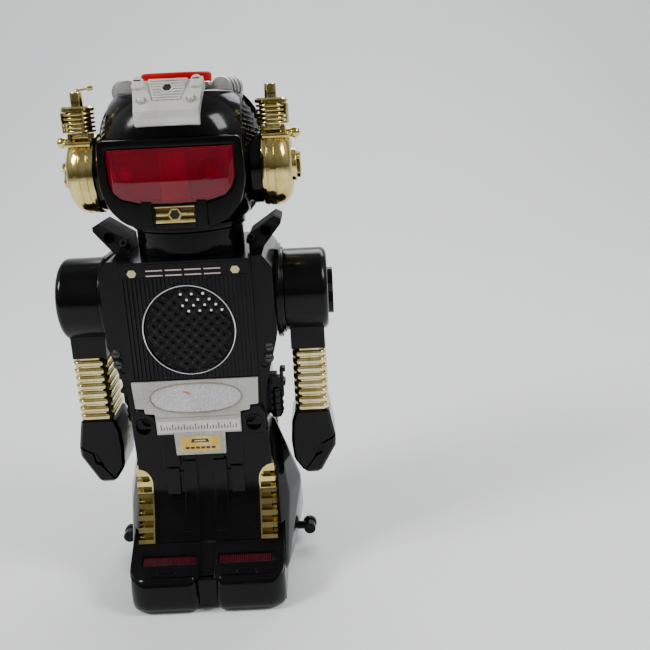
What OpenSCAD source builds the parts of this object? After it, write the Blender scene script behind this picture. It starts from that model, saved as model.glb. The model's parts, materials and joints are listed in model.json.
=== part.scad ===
// Battery toy robot: a black moulded figure with a turning head, swinging arms,
// tilting ear antennas, a rear slide switch and a swivelling drive truck under its feet.
// The robot faces -Y and its own left is +X. All sizes are millimetres.

/* [Overall] */
// Distance from the origin back to the upright axis of neck and shoulders
axis_y = 8.5; // [8:0.5:9]
// Wall thickness of the moulded casings
wall = 2.2; // [1.8:0.1:2.4]
// Gap between neighbouring casings
gap = 0.1; // [0.05:0.01:0.15]

/* [Head] */
// Largest radius of the head
head_r = 46; // [45:0.5:46]
// Height of the widest part of the head
head_mid_z = 244; // [243:0.5:245]
// Half depth of the head, front to back
head_half_depth = 41; // [40:0.5:42]
// Radius of the red lamp on the crown
crown_lamp_r = 18.5; // [17:0.5:19]
// Outer radius of the plated ear cups
ear_r = 20.5; // [19:0.5:21]
// Height of the ear centres
ear_z = 240; // [239:0.5:241]

/* [Body] */
// Half width of the torso at the shoulders
torso_half_w = 46; // [45:0.5:46]
// Half width of the leg block
leg_half_w = 38; // [37:0.5:38]
// Height of the shoulder pivots
shoulder_z = 169; // [168:0.5:170]
// Radius of the shoulder drums
drum_r = 23.5; // [22:0.5:24]
// Radius of the speaker opening
speaker_r = 25.2; // [24:0.2:25.4]
// Height of the speaker centre
speaker_z = 158.5; // [157:0.5:160]

/* [Running gear] */
// Radius of the drive wheels over their tyres
drive_wheel_r = 11; // [10.5:0.5:11]
// Radius of the rear idle wheels
rear_wheel_r = 6; // [5.5:0.1:6]
// Module of the gear teeth
gear_module = 0.7; // [0.65:0.05:0.7]
// Radial clearance of every shaft in its bearing
running_fit = 0.05; // [0.03:0.01:0.08]

/* [Hidden] */
$fn = 64;

// Heights
head_bottom_z = 213;
head_top_z = 281;
neck_top_z = 209.4;
torso_top_z = 196.5;
torso_floor_z = 101.3;
cover_top_z = 38;
deck_z = 34;
ledge_z = 32;
tray_floor_z = 1;
// Head casing
head_top_r = 30;
head_bottom_r = 31;
head_top_power = 2.6;
head_bottom_power = 2.2;
bezel_front_y = -44;
bezel_back_y = -22;
spindle_r = 9;
// Ears and antennas
ear_inner_x = 46.2;
ear_outer_x = 61.5;
ear_y = -6;
antenna_x = 50;
antenna_y = -16;
antenna_pivot_z = 260;
antenna_pin_r = 1.2;
saddle_z = 257.8;
// Torso
flange_y = -33;
chest_y = -36;
torso_back_y = 38;
hub_r = 8;
collar_face_x = 50.7;
drum_inner_x = 51;
drum_outer_x = 75;
wall_hole_r = 12;
case_screw_x = 28;
case_screw_z = 106.5;
screw_seat_y = -27;
boss_end_y = -21;
// Leg block and base
leg_back_y = 38;
trim_top_z = 75;
trim_inner_x = 30.4;
trim_depth = 9;
trim_back_y = -21.5;
toe_y = -65;
toe_r = 12.5;
heel_y = 48;
base_front_half_w = 43.5;
base_rear_half_w = 43;
groove_half_w = 4.2;
// Front of the legs in Y and Z, from the ankle to the belt
leg_front_line = [
    [-43, 33.7], [-41, 38.1], [-36.5, 48], [-32.2, 60], [-30.5, 72], [-31.5, 85], [-33, 97], [-33, 101.2]
];
// Top of the feet in Y and Z, from the toe seam to the level deck, and its underside
deck_line = [[-61.4, 21.6], [-42.5, 33.6], [-33, cover_top_z]];
deck_underside = [[-57, 21.6], [-41.5, 30.6], [-32, deck_z + gap]];
// Drive truck, measured from its own pivot
truck_y = -22;
truck_r = 28;
truck_pivot_r = 4;
axle_y = -6;
axle_z = drive_wheel_r;
axle_r = 1.5;
idler_shaft_r = 1;
motor_r = 7.8;
pinion_teeth = 9;
idler_big_teeth = 26;
idler_small_teeth = 10;
axle_teeth = 24;
idler_angle = 20;
motor_angle = -25;
idler_distance = gear_module * (idler_small_teeth + axle_teeth) / 2;
motor_distance = gear_module * (pinion_teeth + idler_big_teeth) / 2;
idler_y = axle_y + idler_distance * cos(idler_angle);
idler_z = axle_z + idler_distance * sin(idler_angle);
motor_y = idler_y + motor_distance * cos(motor_angle);
motor_z = idler_z + motor_distance * sin(motor_angle);
rear_axle_y = 39.4;
rear_axle_r = 1.25;
// Screws under the base, on both sides
base_screws = [[37.4, -38], [37.4, 29.4]];
base_screw_top_z = 35;
glide_y = -52;
// Lamp windows in the feet
lamp_x0 = 6.2;
lamp_x1 = 36.8;
lamp_y0 = -54.2;
lamp_y1 = -49.6;
// Battery compartment
cell_r = 13.1;
cell_x = 13.7;
cell_y = 21.8;
box_half_w = 28;
box_y0 = 8;
box_y1 = 35.6;
box_top_z = 56.5;
// Switch
switch_half_w = 10.7;
switch_z0 = 64.7;
switch_z1 = 73.5;
switch_travel = 4.6;

// ---------- shared shapes ----------

// Moves a piece drawn around the neck axis to its place in the part's frame
module placed() {
    translate([0, axis_y, 0]) children();
}

// The same piece on the robot's left (+1) or mirrored to its right (-1)
module on_side(s) {
    mirror([s < 0 ? 1 : 0, 0, 0]) children();
}

module both_sides() {
    for (s = [1, -1]) on_side(s) children();
}

// A block given by its two opposite corners
module block(a, b) {
    translate(a) cube(b - a);
}

// A cylinder along X from x0 to x1, centred at y, z
module rod_x(x0, x1, y, z, r) {
    translate([x0, y, z]) rotate([0, 90, 0]) cylinder(r = r, h = x1 - x0);
}

// A cylinder along Y from y0 to y1, centred at x, z
module rod_y(y0, y1, x, z, r) {
    translate([x, y0, z]) rotate([-90, 0, 0]) cylinder(r = r, h = y1 - y0);
}

// A cylinder along Z from z0 to z1, centred at x, y
module rod_z(z0, z1, x, y, r) {
    translate([x, y, z0]) cylinder(r = r, h = z1 - z0);
}

// Extrudes an outline drawn in X and Z along Y from y0 to y1
module slab_y(y0, y1) {
    translate([0, y1, 0]) rotate([90, 0, 0]) linear_extrude(y1 - y0) children();
}

// Extrudes an outline drawn in Y and Z along X from x0 to x1
module slab_x(x0, x1) {
    translate([x0, 0, 0]) rotate([90, 0, 90]) linear_extrude(x1 - x0) children();
}

// A rectangle with round corners, from one corner to the other
module soft_rect(a, b, r) {
    translate([a.x + r, a.y]) square([b.x - a.x - 2 * r, b.y - a.y]);
    translate([a.x, a.y + r]) square([b.x - a.x, b.y - a.y - 2 * r]);
    for (x = [a.x + r, b.x - r], y = [a.y + r, b.y - r]) translate([x, y]) circle(r = r);
}

// A polygon made symmetric about the Y axis of its plane from its right half
module mirrored_polygon(half) {
    n = len(half);
    polygon(concat(half, [for (i = [n - 1:-1:0]) [-half[i].x, half[i].y]]));
}

// A spur gear with slim straight-sided teeth, flat on the plane z = 0
module spur_gear(teeth, width) {
    pitch_r = gear_module * teeth / 2;
    root_r = pitch_r - 1.15 * gear_module;
    tip_r = pitch_r + 0.85 * gear_module;
    step = 360 / teeth;
    linear_extrude(width) polygon([
        for (i = [0:teeth - 1], p = [[root_r, -0.33], [pitch_r, -0.2], [tip_r, -0.09],
                                     [tip_r, 0.09], [pitch_r, 0.2], [root_r, 0.33]])
        p[0] * [cos((i + p[1]) * step), sin((i + p[1]) * step)]
    ]);
}

// A gear on an axis along X, with tooth 0 pointing at the given angle in the YZ plane
module gear_x(x0, y, z, teeth, width, angle) {
    translate([x0, y, z]) rotate([90, 0, 90]) rotate(angle) spur_gear(teeth, width);
}

// ---------- head ----------

// Radius of the head at height z: one superellipse above its middle, another below
function head_radius(z) =
    let (
        up = z > head_mid_z,
        p = up ? head_top_power : head_bottom_power,
        end_r = up ? head_top_r : head_bottom_r,
        end_z = up ? head_top_z : head_bottom_z,
        reach = (end_z - head_mid_z) / pow(1 - pow(end_r / head_r, p), 1 / p)
    )
    head_r * pow(1 - pow(abs((z - head_mid_z) / reach), p), 1 / p);

module head_solid(inset) {
    steps = 12;
    z0 = head_bottom_z + inset;
    z1 = head_top_z - inset;
    intersection() {
        rotate_extrude() polygon(concat(
            [[0, z0]],
            [for (i = [0:steps]) let (z = z0 + (z1 - z0) * i / steps) [head_radius(z) - inset, z]],
            [[0, z1]]
        ));
        d = head_half_depth - inset;
        block([-head_r, -d, head_bottom_z - 1], [head_r, d, head_top_z + 1]);
    }
}

// Outline of the visor frame in X and Z; grow widens it all round
module bezel_outline(grow) {
    g = grow;
    mirrored_polygon([
        [0, 214.5 - g], [17, 214.5 - g], [27 + g, 219 - g], [34 + g, 226 - g],
        [37.5 + g, 236], [37.5 + g, 245], [35.5 + g, 258.5 + g], [0, 258.5 + g]
    ]);
}

module visor_outline(shrink) {
    s = shrink;
    mirrored_polygon([
        [0, 227 + s], [16, 227.6 + s], [26 - s, 230.5 + s], [30 - s, 235], [31.5 - s, 240],
        [31.5 - s, 254.5 - s], [0, 254.5 - s]
    ]);
}

module head_hollow() {
    difference() {
        head_solid(0);
        head_solid(wall);
        // seat of the base disc
        rod_z(head_bottom_z - 2, head_bottom_z + wall + 1, 0, 0, head_bottom_r - wall);
        // visor frame
        slab_y(-60, bezel_back_y) bezel_outline(gap);
        // ear mounts
        both_sides() rod_x(37.9, 60, ear_y, ear_z, ear_r - 0.9);
        // crown lamp opening
        rod_z(head_top_z - 5, head_top_z + 1, 0, 0, 12);
    }
}

module head_front_shell() {
    color("#1b1b1d") placed() intersection() {
        head_hollow();
        block([-60, -60, 200], [60, -gap / 2, 300]);
    }
}

module head_rear_shell() {
    vent_count = 7;
    vent_pitch = 5;
    color("#1b1b1d") placed() difference() {
        intersection() {
            head_hollow();
            block([-60, gap / 2, 200], [60, 60, 300]);
        }
        // three upright flutes down the back
        for (x = [-9, 0, 9]) slab_y(head_half_depth - 1, head_half_depth + 1) {
            drop = x == 0 ? 4 : 0;
            soft_rect([x - 2.2, 228 - drop], [x + 2.2, 262], 2.1);
        }
        // side vents
        both_sides() for (i = [0:vent_count - 1]) {
            z = 226 + vent_pitch * i;
            block([37, 22, z], [46, 31, z + 2.2]);
        }
    }
}

// Disc under the head with the hollow spindle that turns in the neck
module head_base() {
    color("#1b1b1d") placed() difference() {
        union() {
            rod_z(209.9, head_bottom_z - gap / 2, 0, 0, head_bottom_r);
            rod_z(186, 210, 0, 0, spindle_r);
        }
        rod_z(180, 220, 0, 0, 5);
    }
}

// Washer pressed on the spindle below the neck bearing
module neck_retainer() {
    color("silver") placed() difference() {
        rod_z(186, 188.6, 0, 0, 14);
        rod_z(180, 190, 0, 0, spindle_r);
    }
}

module visor_bezel() {
    web_y = -34;
    color("#161618") placed() difference() {
        union() {
            slab_y(bezel_front_y, bezel_back_y) bezel_outline(0);
            // two upright clips beside the mouth
            both_sides() block([11, bezel_front_y - 1.6, 214.5], [15.5, bezel_front_y + 1, 228]);
        }
        // seat of the lens, with the eye chamber behind it
        slab_y(bezel_front_y - 3, -41) visor_outline(-0.1);
        slab_y(-50, web_y) visor_outline(1.4);
        slab_y(web_y + 1.5, bezel_back_y + 1) visor_outline(1.4);
        both_sides() rod_y(-36, -30, 17, 242, 2.1);
        // mouth pocket
        block([-10.1, bezel_front_y - 1, 217.4], [10.1, -40.4, 226.1]);
        // trimmed to the inside of the head behind the frame
        difference() {
            block([-50, -36, 200], [50, bezel_back_y + 1, 300]);
            head_solid(0.4);
        }
    }
}

// Red window with a crease across it, hollow behind
module visor_lens() {
    module wedge(t, back_y) {
        intersection() {
            slab_y(-60, back_y) visor_outline(t);
            slab_x(-40, 40) polygon([
                [back_y, 226], [back_y, 256], [-44.8 + t, 256], [-47.6 + t, 238.6], [-44.4 + t, 226]
            ]);
            linear_extrude(300) mirrored_polygon([
                [0, -48 + t], [28 - t, -47.4 + t], [32 - t, -43], [32 - t, back_y]
            ]);
        }
    }
    color("#c01020", 0.8) placed() difference() {
        wedge(0, -41);
        wedge(1.4, -40);
    }
}

module visor_centre_strip() {
    color("#a00c18") placed() difference() {
        block([-5.5, -40, 229], [5.5, -34, 253]);
        for (x = [-3.6, -1.2, 1.2, 3.6]) block([x - 0.5, -40.6, 228], [x + 0.5, -39.4, 254]);
    }
}

module eye_reflectors() {
    color("#8a0f18") placed() both_sides() difference() {
        rod_y(-40, -34, 17, 242, 7.2);
        rod_y(-41, -37, 17, 242, 6);
        rod_y(-38, -33, 17, 242, 2.1);
        for (a = [0:30:330]) translate([17, -40.5, 242]) rotate([0, a, 0])
            translate([6.6, 0, -0.5]) cube([1.4, 1.5, 1]);
    }
}

module eye_bulbs() {
    color("#ffe8c0") placed() both_sides() {
        rod_y(-38, -30, 17, 242, 2);
        translate([17, -38, 242]) sphere(r = 2);
    }
}

module mouth_vent() {
    color("gold") placed() difference() {
        block([-10, bezel_front_y - 0.8, 217.5], [10, -40.5, 226]);
        // slots between the bars, interrupted by the hexagonal boss
        for (z = [218.9, 223.2]) difference() {
            block([-9.2, -50, z], [9.2, -42.5, z + 1.5]);
            rod_y(-51, -40, 0, 221.75, 3.2);
        }
        translate([0, -42, 221.75]) rotate([90, 0, 0]) cylinder(r = 2.3, h = 6, $fn = 6);
    }
}

// Painted block over the brow, laid against the slope of the head
module forehead_block() {
    slope = 44;
    module on_slope(x, y, z) {
        translate([x, y, z]) rotate([slope, 0, 0]) children();
    }
    color("#c9c9c4") placed() difference() {
        union() {
            slab_x(-18.5, 18.5) polygon([
                [-24, 285.4], [-26.5, 286.2], [-38.5, 273.8], [-43.6, 267.6], [-42.8, 264.2],
                [-38, 263], [-20, 279]
            ]);
            // bolts in the upper corners and bosses below them
            both_sides() {
                on_slope(15, -28.6, 283.6) rod_z(-0.4, 1.8, 0, 0, 2.6);
                on_slope(13, -37.4, 274.6) rod_z(-0.4, 1.9, 0, 0, 1.6);
            }
        }
        head_solid(-gap);
        rod_z(270, 300, 0, 0, 20);
        // cut-outs beside the ribbed middle panel
        both_sides() on_slope(10.5, -32, 281) cube([5, 7, 4], center = true);
        // grooves between the ribs
        for (i = [0:5]) on_slope(0, -36.5 + 1.9 * i, 276.6 + 1.96 * i)
            cube([12, 0.8, 2], center = true);
    }
}

module crown_ring() {
    color("silver") placed() difference() {
        rod_z(head_top_z, 285, 0, 0, crown_lamp_r + 1);
        rod_z(head_top_z - 1, 286, 0, 0, 12);
    }
}

module crown_lamp() {
    color("red") placed() difference() {
        rod_z(285, 290, 0, 0, crown_lamp_r);
        rod_z(284, 288, 0, 0, crown_lamp_r - 1.5);
    }
}

// Finned half-round rolls on both sides of the crown lamp
module crown_rolls() {
    roll_x = 27;
    roll_r = 7;
    fin = 3;
    color("#b0b0ac") placed() both_sides() difference() {
        union() {
            for (y = [-14, -8, -2]) rod_y(y, y + fin, roll_x, 281, roll_r);
            rod_y(-14, 1, roll_x, 281, roll_r - 1.5);
        }
        head_solid(-gap);
        rod_z(270, 300, 0, 0, crown_lamp_r + 1 + gap);
    }
}

// Plated ear cup with its cross-shaped knob and the clevis for the antenna
module ear_cup() {
    flare = 6;
    x0 = ear_inner_x;
    length = ear_outer_x - x0;
    difference() {
        union() {
            translate([x0, ear_y, ear_z]) rotate([0, 90, 0]) difference() {
                rotate_extrude() {
                    square([ear_r, length - flare]);
                    square([ear_r - flare, length]);
                    translate([ear_r - flare, length - flare]) circle(r = flare);
                }
                rotate_extrude() translate([0, -1]) square([ear_r - 1.8, 9]);
            }
            // knob with a raised cross
            rod_x(ear_outer_x - 0.5, ear_outer_x + 1.3, ear_y, ear_z, 9);
            for (a = [0, 90]) translate([ear_outer_x + 1.3, ear_y, ear_z]) rotate([a, 0, 0])
                translate([-0.5, -7, -2.2]) cube([1.7, 14, 4.4]);
            // saddle, clevis ears and the round peg beside them
            block([43.5, antenna_y - 6, 254], [58.5, antenna_y + 8, saddle_z]);
            for (x = [43.5, 54.4]) block([x, antenna_y - 3, 256], [x + 2.1, antenna_y + 3, 262]);
            rod_x(56, 64.5, antenna_y + 4, 257.6, 2.7);
        }
        // the saddle stays clear of the head and its mount
        rod_x(43, ear_inner_x, ear_y, ear_z, ear_r - 1 + gap);
        head_solid(-0.3);
        rod_x(43, 57, antenna_y, antenna_pivot_z, antenna_pin_r + running_fit);
    }
}

module ear_cup_left() {
    color("gold") placed() ear_cup();
}

module ear_cup_right() {
    color("gold") placed() on_side(-1) ear_cup();
}

module ear_bases() {
    color("#161618") placed() both_sides() difference() {
        rod_x(38, ear_inner_x, ear_y, ear_z, ear_r - 1);
        rod_x(37, 44, ear_y, ear_z, ear_r - 3);
    }
}

// Finned antenna that tilts back on two trunnions
module antenna() {
    fins = 5;
    fin_pitch = 2.3;
    z0 = 262.3;
    difference() {
        union() {
            rod_z(z0, 275, 0, 0, 6.8);
            for (i = [0:fins - 1]) rod_z(z0 + fin_pitch * i, z0 + fin_pitch * i + 1.3, 0, 0, 8);
            // smooth jacket round the outer and rear side of the fins
            difference() {
                rod_z(z0, 272.5, 0, 0, 8.4);
                block([-9, -9, 250], [3, 9, 280]);
            }
            rod_z(272.8, 275.4, 0, 0, 8.4);
        }
        // the underside slopes up behind the pivot
        translate([0, 0, z0 + 0.1]) rotate([28, 0, 0]) block([-10, 0, -10], [10, 20, 0]);
    }
    difference() {
        rod_z(275.4, 282.5, 0, 0, 3.1);
        rod_z(278, 283, 0, 0, 1.7);
    }
    // tongue and trunnions
    rod_x(-4, 4, 0, antenna_pivot_z, 1.5);
    block([-4, -1.5, antenna_pivot_z], [4, 1.5, z0 + 1]);
    rod_x(-6.8, 6.8, 0, antenna_pivot_z, antenna_pin_r);
}

module antenna_left() {
    color("gold") placed() translate([antenna_x, antenna_y, 0]) antenna();
}

module antenna_right() {
    color("gold") placed() on_side(-1) translate([antenna_x, antenna_y, 0]) antenna();
}

// ---------- torso ----------

// Right half of the torso outline in X and Z, drawn t inside the outer face
module torso_outline(t) {
    mirrored_polygon([
        [0, torso_floor_z - (t > 0 ? 1 : 0)], [leg_half_w - t, torso_floor_z - (t > 0 ? 1 : 0)],
        [leg_half_w - t, 120], [39.5 - t, 126], [torso_half_w - t, 150],
        [torso_half_w - t, 190 - t / 2], [41 - t / 2, torso_top_z - t], [0, torso_top_z - t]
    ]);
}

module torso_openings() {
    // neck spigot, shoulder bosses
    rod_z(190, 200, 0, 0, 15.1);
    rod_x(-60, 60, 0, shoulder_z, wall_hole_r);
}

module torso_front_shell() {
    rib_pitch = 2.2;
    color("#1a1a1c") placed() difference() {
        union() {
            slab_y(flange_y, -gap / 2) torso_outline(0);
            block([-35, chest_y, torso_floor_z], [35, flange_y + 1, torso_top_z]);
            block([-35, chest_y - 2, 188], [35, chest_y + 1, torso_top_z]);
            // vertical ribs on the chest
            for (i = [-15:15]) let (x = i * rib_pitch)
                block([x - 0.55, chest_y - 1, 131], [x + 0.55, chest_y + 1, 188]);
        }
        difference() {
            slab_y(flange_y + wall, 1) torso_outline(wall);
            both_sides() rod_y(flange_y, boss_end_y, case_screw_x, case_screw_z, 5);
        }
        block([-35 + wall, chest_y + wall, 133], [35 - wall, flange_y + 5, torso_top_z - wall]);
        // speaker opening
        rod_y(-60, 0, 0, speaker_z, speaker_r + gap);
        // seat of the chest plate
        block([-34.6, chest_y - 2, 98], [34.6, chest_y + 1.2, 130.6]);
        // counterbores of the two case screws
        both_sides() {
            rod_y(-50, screw_seat_y, case_screw_x, case_screw_z, 3.75);
            rod_y(-50, boss_end_y + 1, case_screw_x, case_screw_z, 1.3);
        }
        // flange screw sinks
        both_sides() {
            rod_y(-40, flange_y + 0.8, 40.5, 142, 2.1);
            rod_y(-40, flange_y + 0.8, 38.6, 136, 2.1);
        }
        torso_openings();
    }
}

module torso_rear_shell() {
    color("#1a1a1c") placed() difference() {
        slab_y(gap / 2, torso_back_y) torso_outline(0);
        slab_y(-1, torso_back_y - wall) torso_outline(wall);
        // windows for the grille panel and the hatch
        block([-24.1, 20, 137.9], [24.1, 50, 194]);
        slab_y(20, 50) hatch_outline(gap);
        torso_openings();
    }
}

// Ribbed and pierced panel in the upper back
module rear_grille() {
    rib_pitch = 4;
    ribs = 11;
    rows = 9;
    color("#1a1a1c") placed() difference() {
        union() {
            block([-24, torso_back_y - 3.4, 138], [24, torso_back_y - 1.4, 193.9]);
            // frame
            difference() {
                block([-24, torso_back_y - 3, 138], [24, torso_back_y + 0.4, 193.9]);
                block([-22.4, 0, 141], [22.4, 60, 190.5]);
            }
            for (i = [0:ribs - 1]) let (x = (i - (ribs - 1) / 2) * rib_pitch)
                block([x - 0.6, torso_back_y - 3, 140], [x + 0.6, torso_back_y + 0.6, 191.5]);
        }
        for (i = [0:ribs], k = [0:rows - 1]) {
            x = (i - ribs / 2) * rib_pitch;
            z = 143.5 + 5.2 * k + (i % 2) * 2.6;
            rod_y(20, 60, x, z, 0.8);
        }
    }
}

module hatch_outline(grow) {
    g = grow;
    mirrored_polygon([
        [0, 102.5 - g], [22.5 + g, 102.5 - g], [22.5 + g, 121 + g], [7.5 + g, 121 + g],
        [7.5 + g, 133 + g], [0, 133 + g]
    ]);
}

// T-shaped service hatch with its screw hole
module rear_hatch() {
    color("#1a1a1c") placed() difference() {
        slab_y(torso_back_y - wall, torso_back_y + 0.2) hatch_outline(0);
        rod_y(0, 60, 0, 127, 1.3);
        rod_y(torso_back_y - 1, 60, 0, 127, 3.6);
    }
}

// Fixed neck with the bearing for the head spindle
module neck_tube() {
    color("#161618") placed() difference() {
        union() {
            rod_z(torso_top_z, neck_top_z, 0, 0, 29.5);
            rod_z(190, torso_top_z + 1, 0, 0, 15);
        }
        difference() {
            rod_z(torso_top_z + wall, neck_top_z + 1, 0, 0, 27.3);
            rod_z(torso_top_z, 220, 0, 0, 12);
        }
        rod_z(180, 220, 0, 0, spindle_r + running_fit);
    }
}

// Angular collar wings rising from the shoulders
module collar_wings() {
    color("#161618") placed() both_sides() difference() {
        union() {
            slab_y(-14, 12) polygon([
                [33, torso_top_z + gap], [40.5, torso_top_z + gap], [42, 198.4], [51, 209.5],
                [51.2, 212], [47.5, 213.8], [33.5, 204.5]
            ]);
            // short pipe stub at the inner foot
            translate([33.6, -12, 200.5]) rotate([60, 0, 12]) rod_z(0, 6, 0, 0, 2.1);
        }
        // round recess in the front face
        rod_y(-20, -8, 42.5, 206, 3);
        translate([33.6, -12, 200.5]) rotate([60, 0, 12]) rod_z(3, 7, 0, 0, 1.2);
        // fine ridges along the upper edge
        for (i = [0:11]) translate([33.5, -13 + 2.15 * i, 204.5]) rotate([0, -33.6, 0])
            block([1, -0.35, -0.5], [15, 0.35, 1]);
        rod_z(190, 220, 0, 0, 29.5 + gap);
    }
}

// Flanged bushes that carry the arms
module shoulder_collars() {
    color("#161618") placed() both_sides() difference() {
        union() {
            rod_x(torso_half_w + gap, 49, 0, shoulder_z, 27);
            rod_x(48, collar_face_x, 0, shoulder_z, 24.6);
            rod_x(43.4, 48, 0, shoulder_z, wall_hole_r - gap);
        }
        rod_x(40, 60, 0, shoulder_z, hub_r + running_fit);
        // flat on top where the collar wing passes
        block([40, -30, 194.5], [60, 30, 200]);
    }
}

module speaker_ring() {
    color("silver") placed() difference() {
        rod_y(chest_y - 2, chest_y + 2, 0, speaker_z, speaker_r);
        rod_y(-60, 0, 0, speaker_z, speaker_r - 1.1);
    }
}

// Disc with a woven relief and small holes on a diagonal lattice
module speaker_grille() {
    pitch = 6.2;
    n = 8;
    grille_r = speaker_r - 1.1 - gap;
    color("#1a1a1c") placed() difference() {
        rod_y(chest_y - 0.6, chest_y + 1.6, 0, speaker_z, grille_r);
        for (i = [-n:n], k = [-n:n])
            let (x = (i + (k % 2 == 0 ? 0 : 0.5)) * pitch, z = k * pitch / 2)
                if (x * x + z * z < pow(grille_r - 1.8, 2)) rod_y(-60, 0, x, speaker_z + z, 0.8);
    }
}

// Small loudspeaker behind the grille: basket, magnet and cone
module speaker() {
    x = -8;
    z = 151;
    color("dimgray") placed() difference() {
        union() {
            rod_y(chest_y + wall, -28, x, z, 16);
            rod_y(-29, -22, x, z, 11);
            // bracket to the chest wall
            block([-31, chest_y + wall, 136], [-20, -30, 148]);
        }
        rod_y(-60, -29.5, x, z, 14);
    }
    color("#404040") placed() rod_y(-33, -31, x, z, 13.8);
}

// Board on two posts against the right wall
module circuit_board() {
    color("darkgreen") placed() {
        block([-41, -14, 142], [-39.4, 22, 156]);
        for (y = [-10, 0, 10]) block([-39.4, y, 143.5], [-35.5, y + 6, 149.5]);
        for (y = [-9, 16]) rod_x(wall - torso_half_w, -40.9, y, 153, 1.5);
    }
}

// Painted plate with a dial window and a tab over the belt
module chest_plate() {
    color("#a8a8a4") placed() difference() {
        slab_y(chest_y - 1.4, chest_y + 1.1) mirrored_polygon([
            [0, 87.4], [13.6, 87.4], [13.6, 98], [23.8, 98], [23.8, 109.5], [27, 109.5],
            [29.5, 113.5], [34.5, 113.5], [34.5, 130.5], [0, 130.5]
        ]);
        // dial window
        slab_y(chest_y - 3, chest_y - 1) intersection() {
            soft_rect([-23.5, 113.6], [23.5, 127.6], 6.5);
            translate([0, 68]) circle(r = 60.2, $fn = 96);
        }
        // sunken label field on the tab
        block([-11.4, chest_y - 3, 89.4], [11.4, chest_y - 1, 97.4]);
    }
}

// Hooks and short hose stubs on the flanks at the waist
module waist_clips() {
    tube_x = 42.7;
    tube_r = 3.4;
    color("#161618") placed() both_sides() {
        difference() {
            union() {
                rod_z(103, 124, tube_x, -8, tube_r);
                block([leg_half_w, -10.5, 103], [tube_x - 1, -5.5, 112]);
            }
            rod_z(112, 126, tube_x, -8, 2.2);
        }
        block([45.4, -10, 112], [47.2, -4, 122]);
        block([47, -10, 108], [49, -4, 126]);
        block([47, -10, 124], [50, -4, 127]);
    }
}

// ---------- leg block ----------

// Moves every point of an outline in Y and Z backwards by d
function shifted(line, d) = [for (p = line) [p.x + d, p.y]];

// The leg front as a solid slice from its surface, d behind it, back to the plane y = 0
module leg_front_slice(half_w, d) {
    slab_x(-half_w, half_w) polygon(concat(
        shifted(leg_front_line, d), [[-gap / 2, leg_front_line[7].y], [-gap / 2, leg_front_line[0].y]]
    ));
}

// Everything below the top of the feet, raised by g
module below_deck(g) {
    slab_x(-60, 60) polygon([
        [-70, 0], [deck_line[0].x, deck_line[0].y + g], [deck_line[1].x, deck_line[1].y + g],
        [deck_line[2].x, deck_line[2].y + g], [60, deck_line[2].y + g], [60, 0]
    ]);
}

// Outline of the corner pieces in X and Z: their tops are rounded towards the outside
module trim_outline(grow) {
    g = grow;
    top_r = 9.4;
    mirrored = [1, -1];
    for (s = mirrored) mirror([s < 0 ? 1 : 0, 0]) {
        translate([trim_inner_x + top_r, trim_top_z - top_r]) intersection() {
            circle(r = top_r + g);
            translate([-20, 0]) square([20, 20]);
        }
        translate([trim_inner_x - g, 20]) square([top_r + g, trim_top_z - top_r - 20]);
    }
}

// Room for the corner pieces: the gold trims fill these cut-outs
module trim_space(grow) {
    g = grow;
    intersection() {
        slab_y(-60, 60) trim_outline(g);
        union() {
            slab_x(-60, 60) polygon(concat(
                shifted(leg_front_line, -1), [for (i = [7:-1:0]) leg_front_line[i] + [trim_depth + g, 0]]
            ));
            block([-60, leg_back_y - trim_depth - g, cover_top_z], [60, leg_back_y + 1, 80]);
        }
    }
}

module leg_outline(t) {
    translate([-leg_half_w + t, cover_top_z - (t > 0 ? 1 : 0)])
        square([2 * (leg_half_w - t), torso_floor_z - gap - cover_top_z + (t > 0 ? 2 : 0)]);
}

module leg_front_shell() {
    skin = 1.2;
    color("#1a1a1c") placed() difference() {
        union() {
            leg_front_slice(leg_half_w, skin);
            // raised leg panels on both sides of the middle groove
            both_sides() intersection() {
                leg_front_slice(leg_half_w, 0);
                block([groove_half_w, -60, 0], [leg_half_w, -20, 97]);
            }
        }
        difference() {
            intersection() {
                leg_front_slice(leg_half_w - wall, skin + wall);
                block([-60, -60, 0], [60, 10, torso_floor_z + 5]);
            }
            trim_space(wall);
        }
        // slots down the thighs
        both_sides() for (slot = [[11.5, 20.5, 72, 102, 1], [12, 20, 56, 70.5, 1.6]]) difference() {
            block([slot[0], -60, slot[2]], [slot[1], -20, slot[3]]);
            leg_front_slice(leg_half_w, slot[4]);
        }
        // chest plate tab
        block([-24, chest_y - 2, 87.3], [24, chest_y + 1.2, 102]);
        trim_space(gap);
        below_deck(gap);
    }
}

module leg_rear_shell() {
    y1 = leg_back_y;
    color("#1a1a1c") placed() difference() {
        union() {
            slab_y(gap / 2, y1) leg_outline(0);
            // skirt down to the ledge of the heel
            block([-leg_half_w, 36.1, ledge_z + gap], [leg_half_w, y1, cover_top_z + 1]);
        }
        difference() {
            slab_y(-1, y1 - wall) leg_outline(wall);
            trim_space(wall);
        }
        // recess above the switch and the opening of the switch itself
        block([-4, y1 - 1.4, 74.5], [4, y1 + 1, 84]);
        block([-11, y1 - wall - 1, switch_z0 - 0.3], [11, y1 + 1, switch_z1 + 0.3]);
        both_sides() block([17, y1 - 0.6, 62], [28, y1 + 1, 75]);
        trim_space(gap);
    }
}

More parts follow.
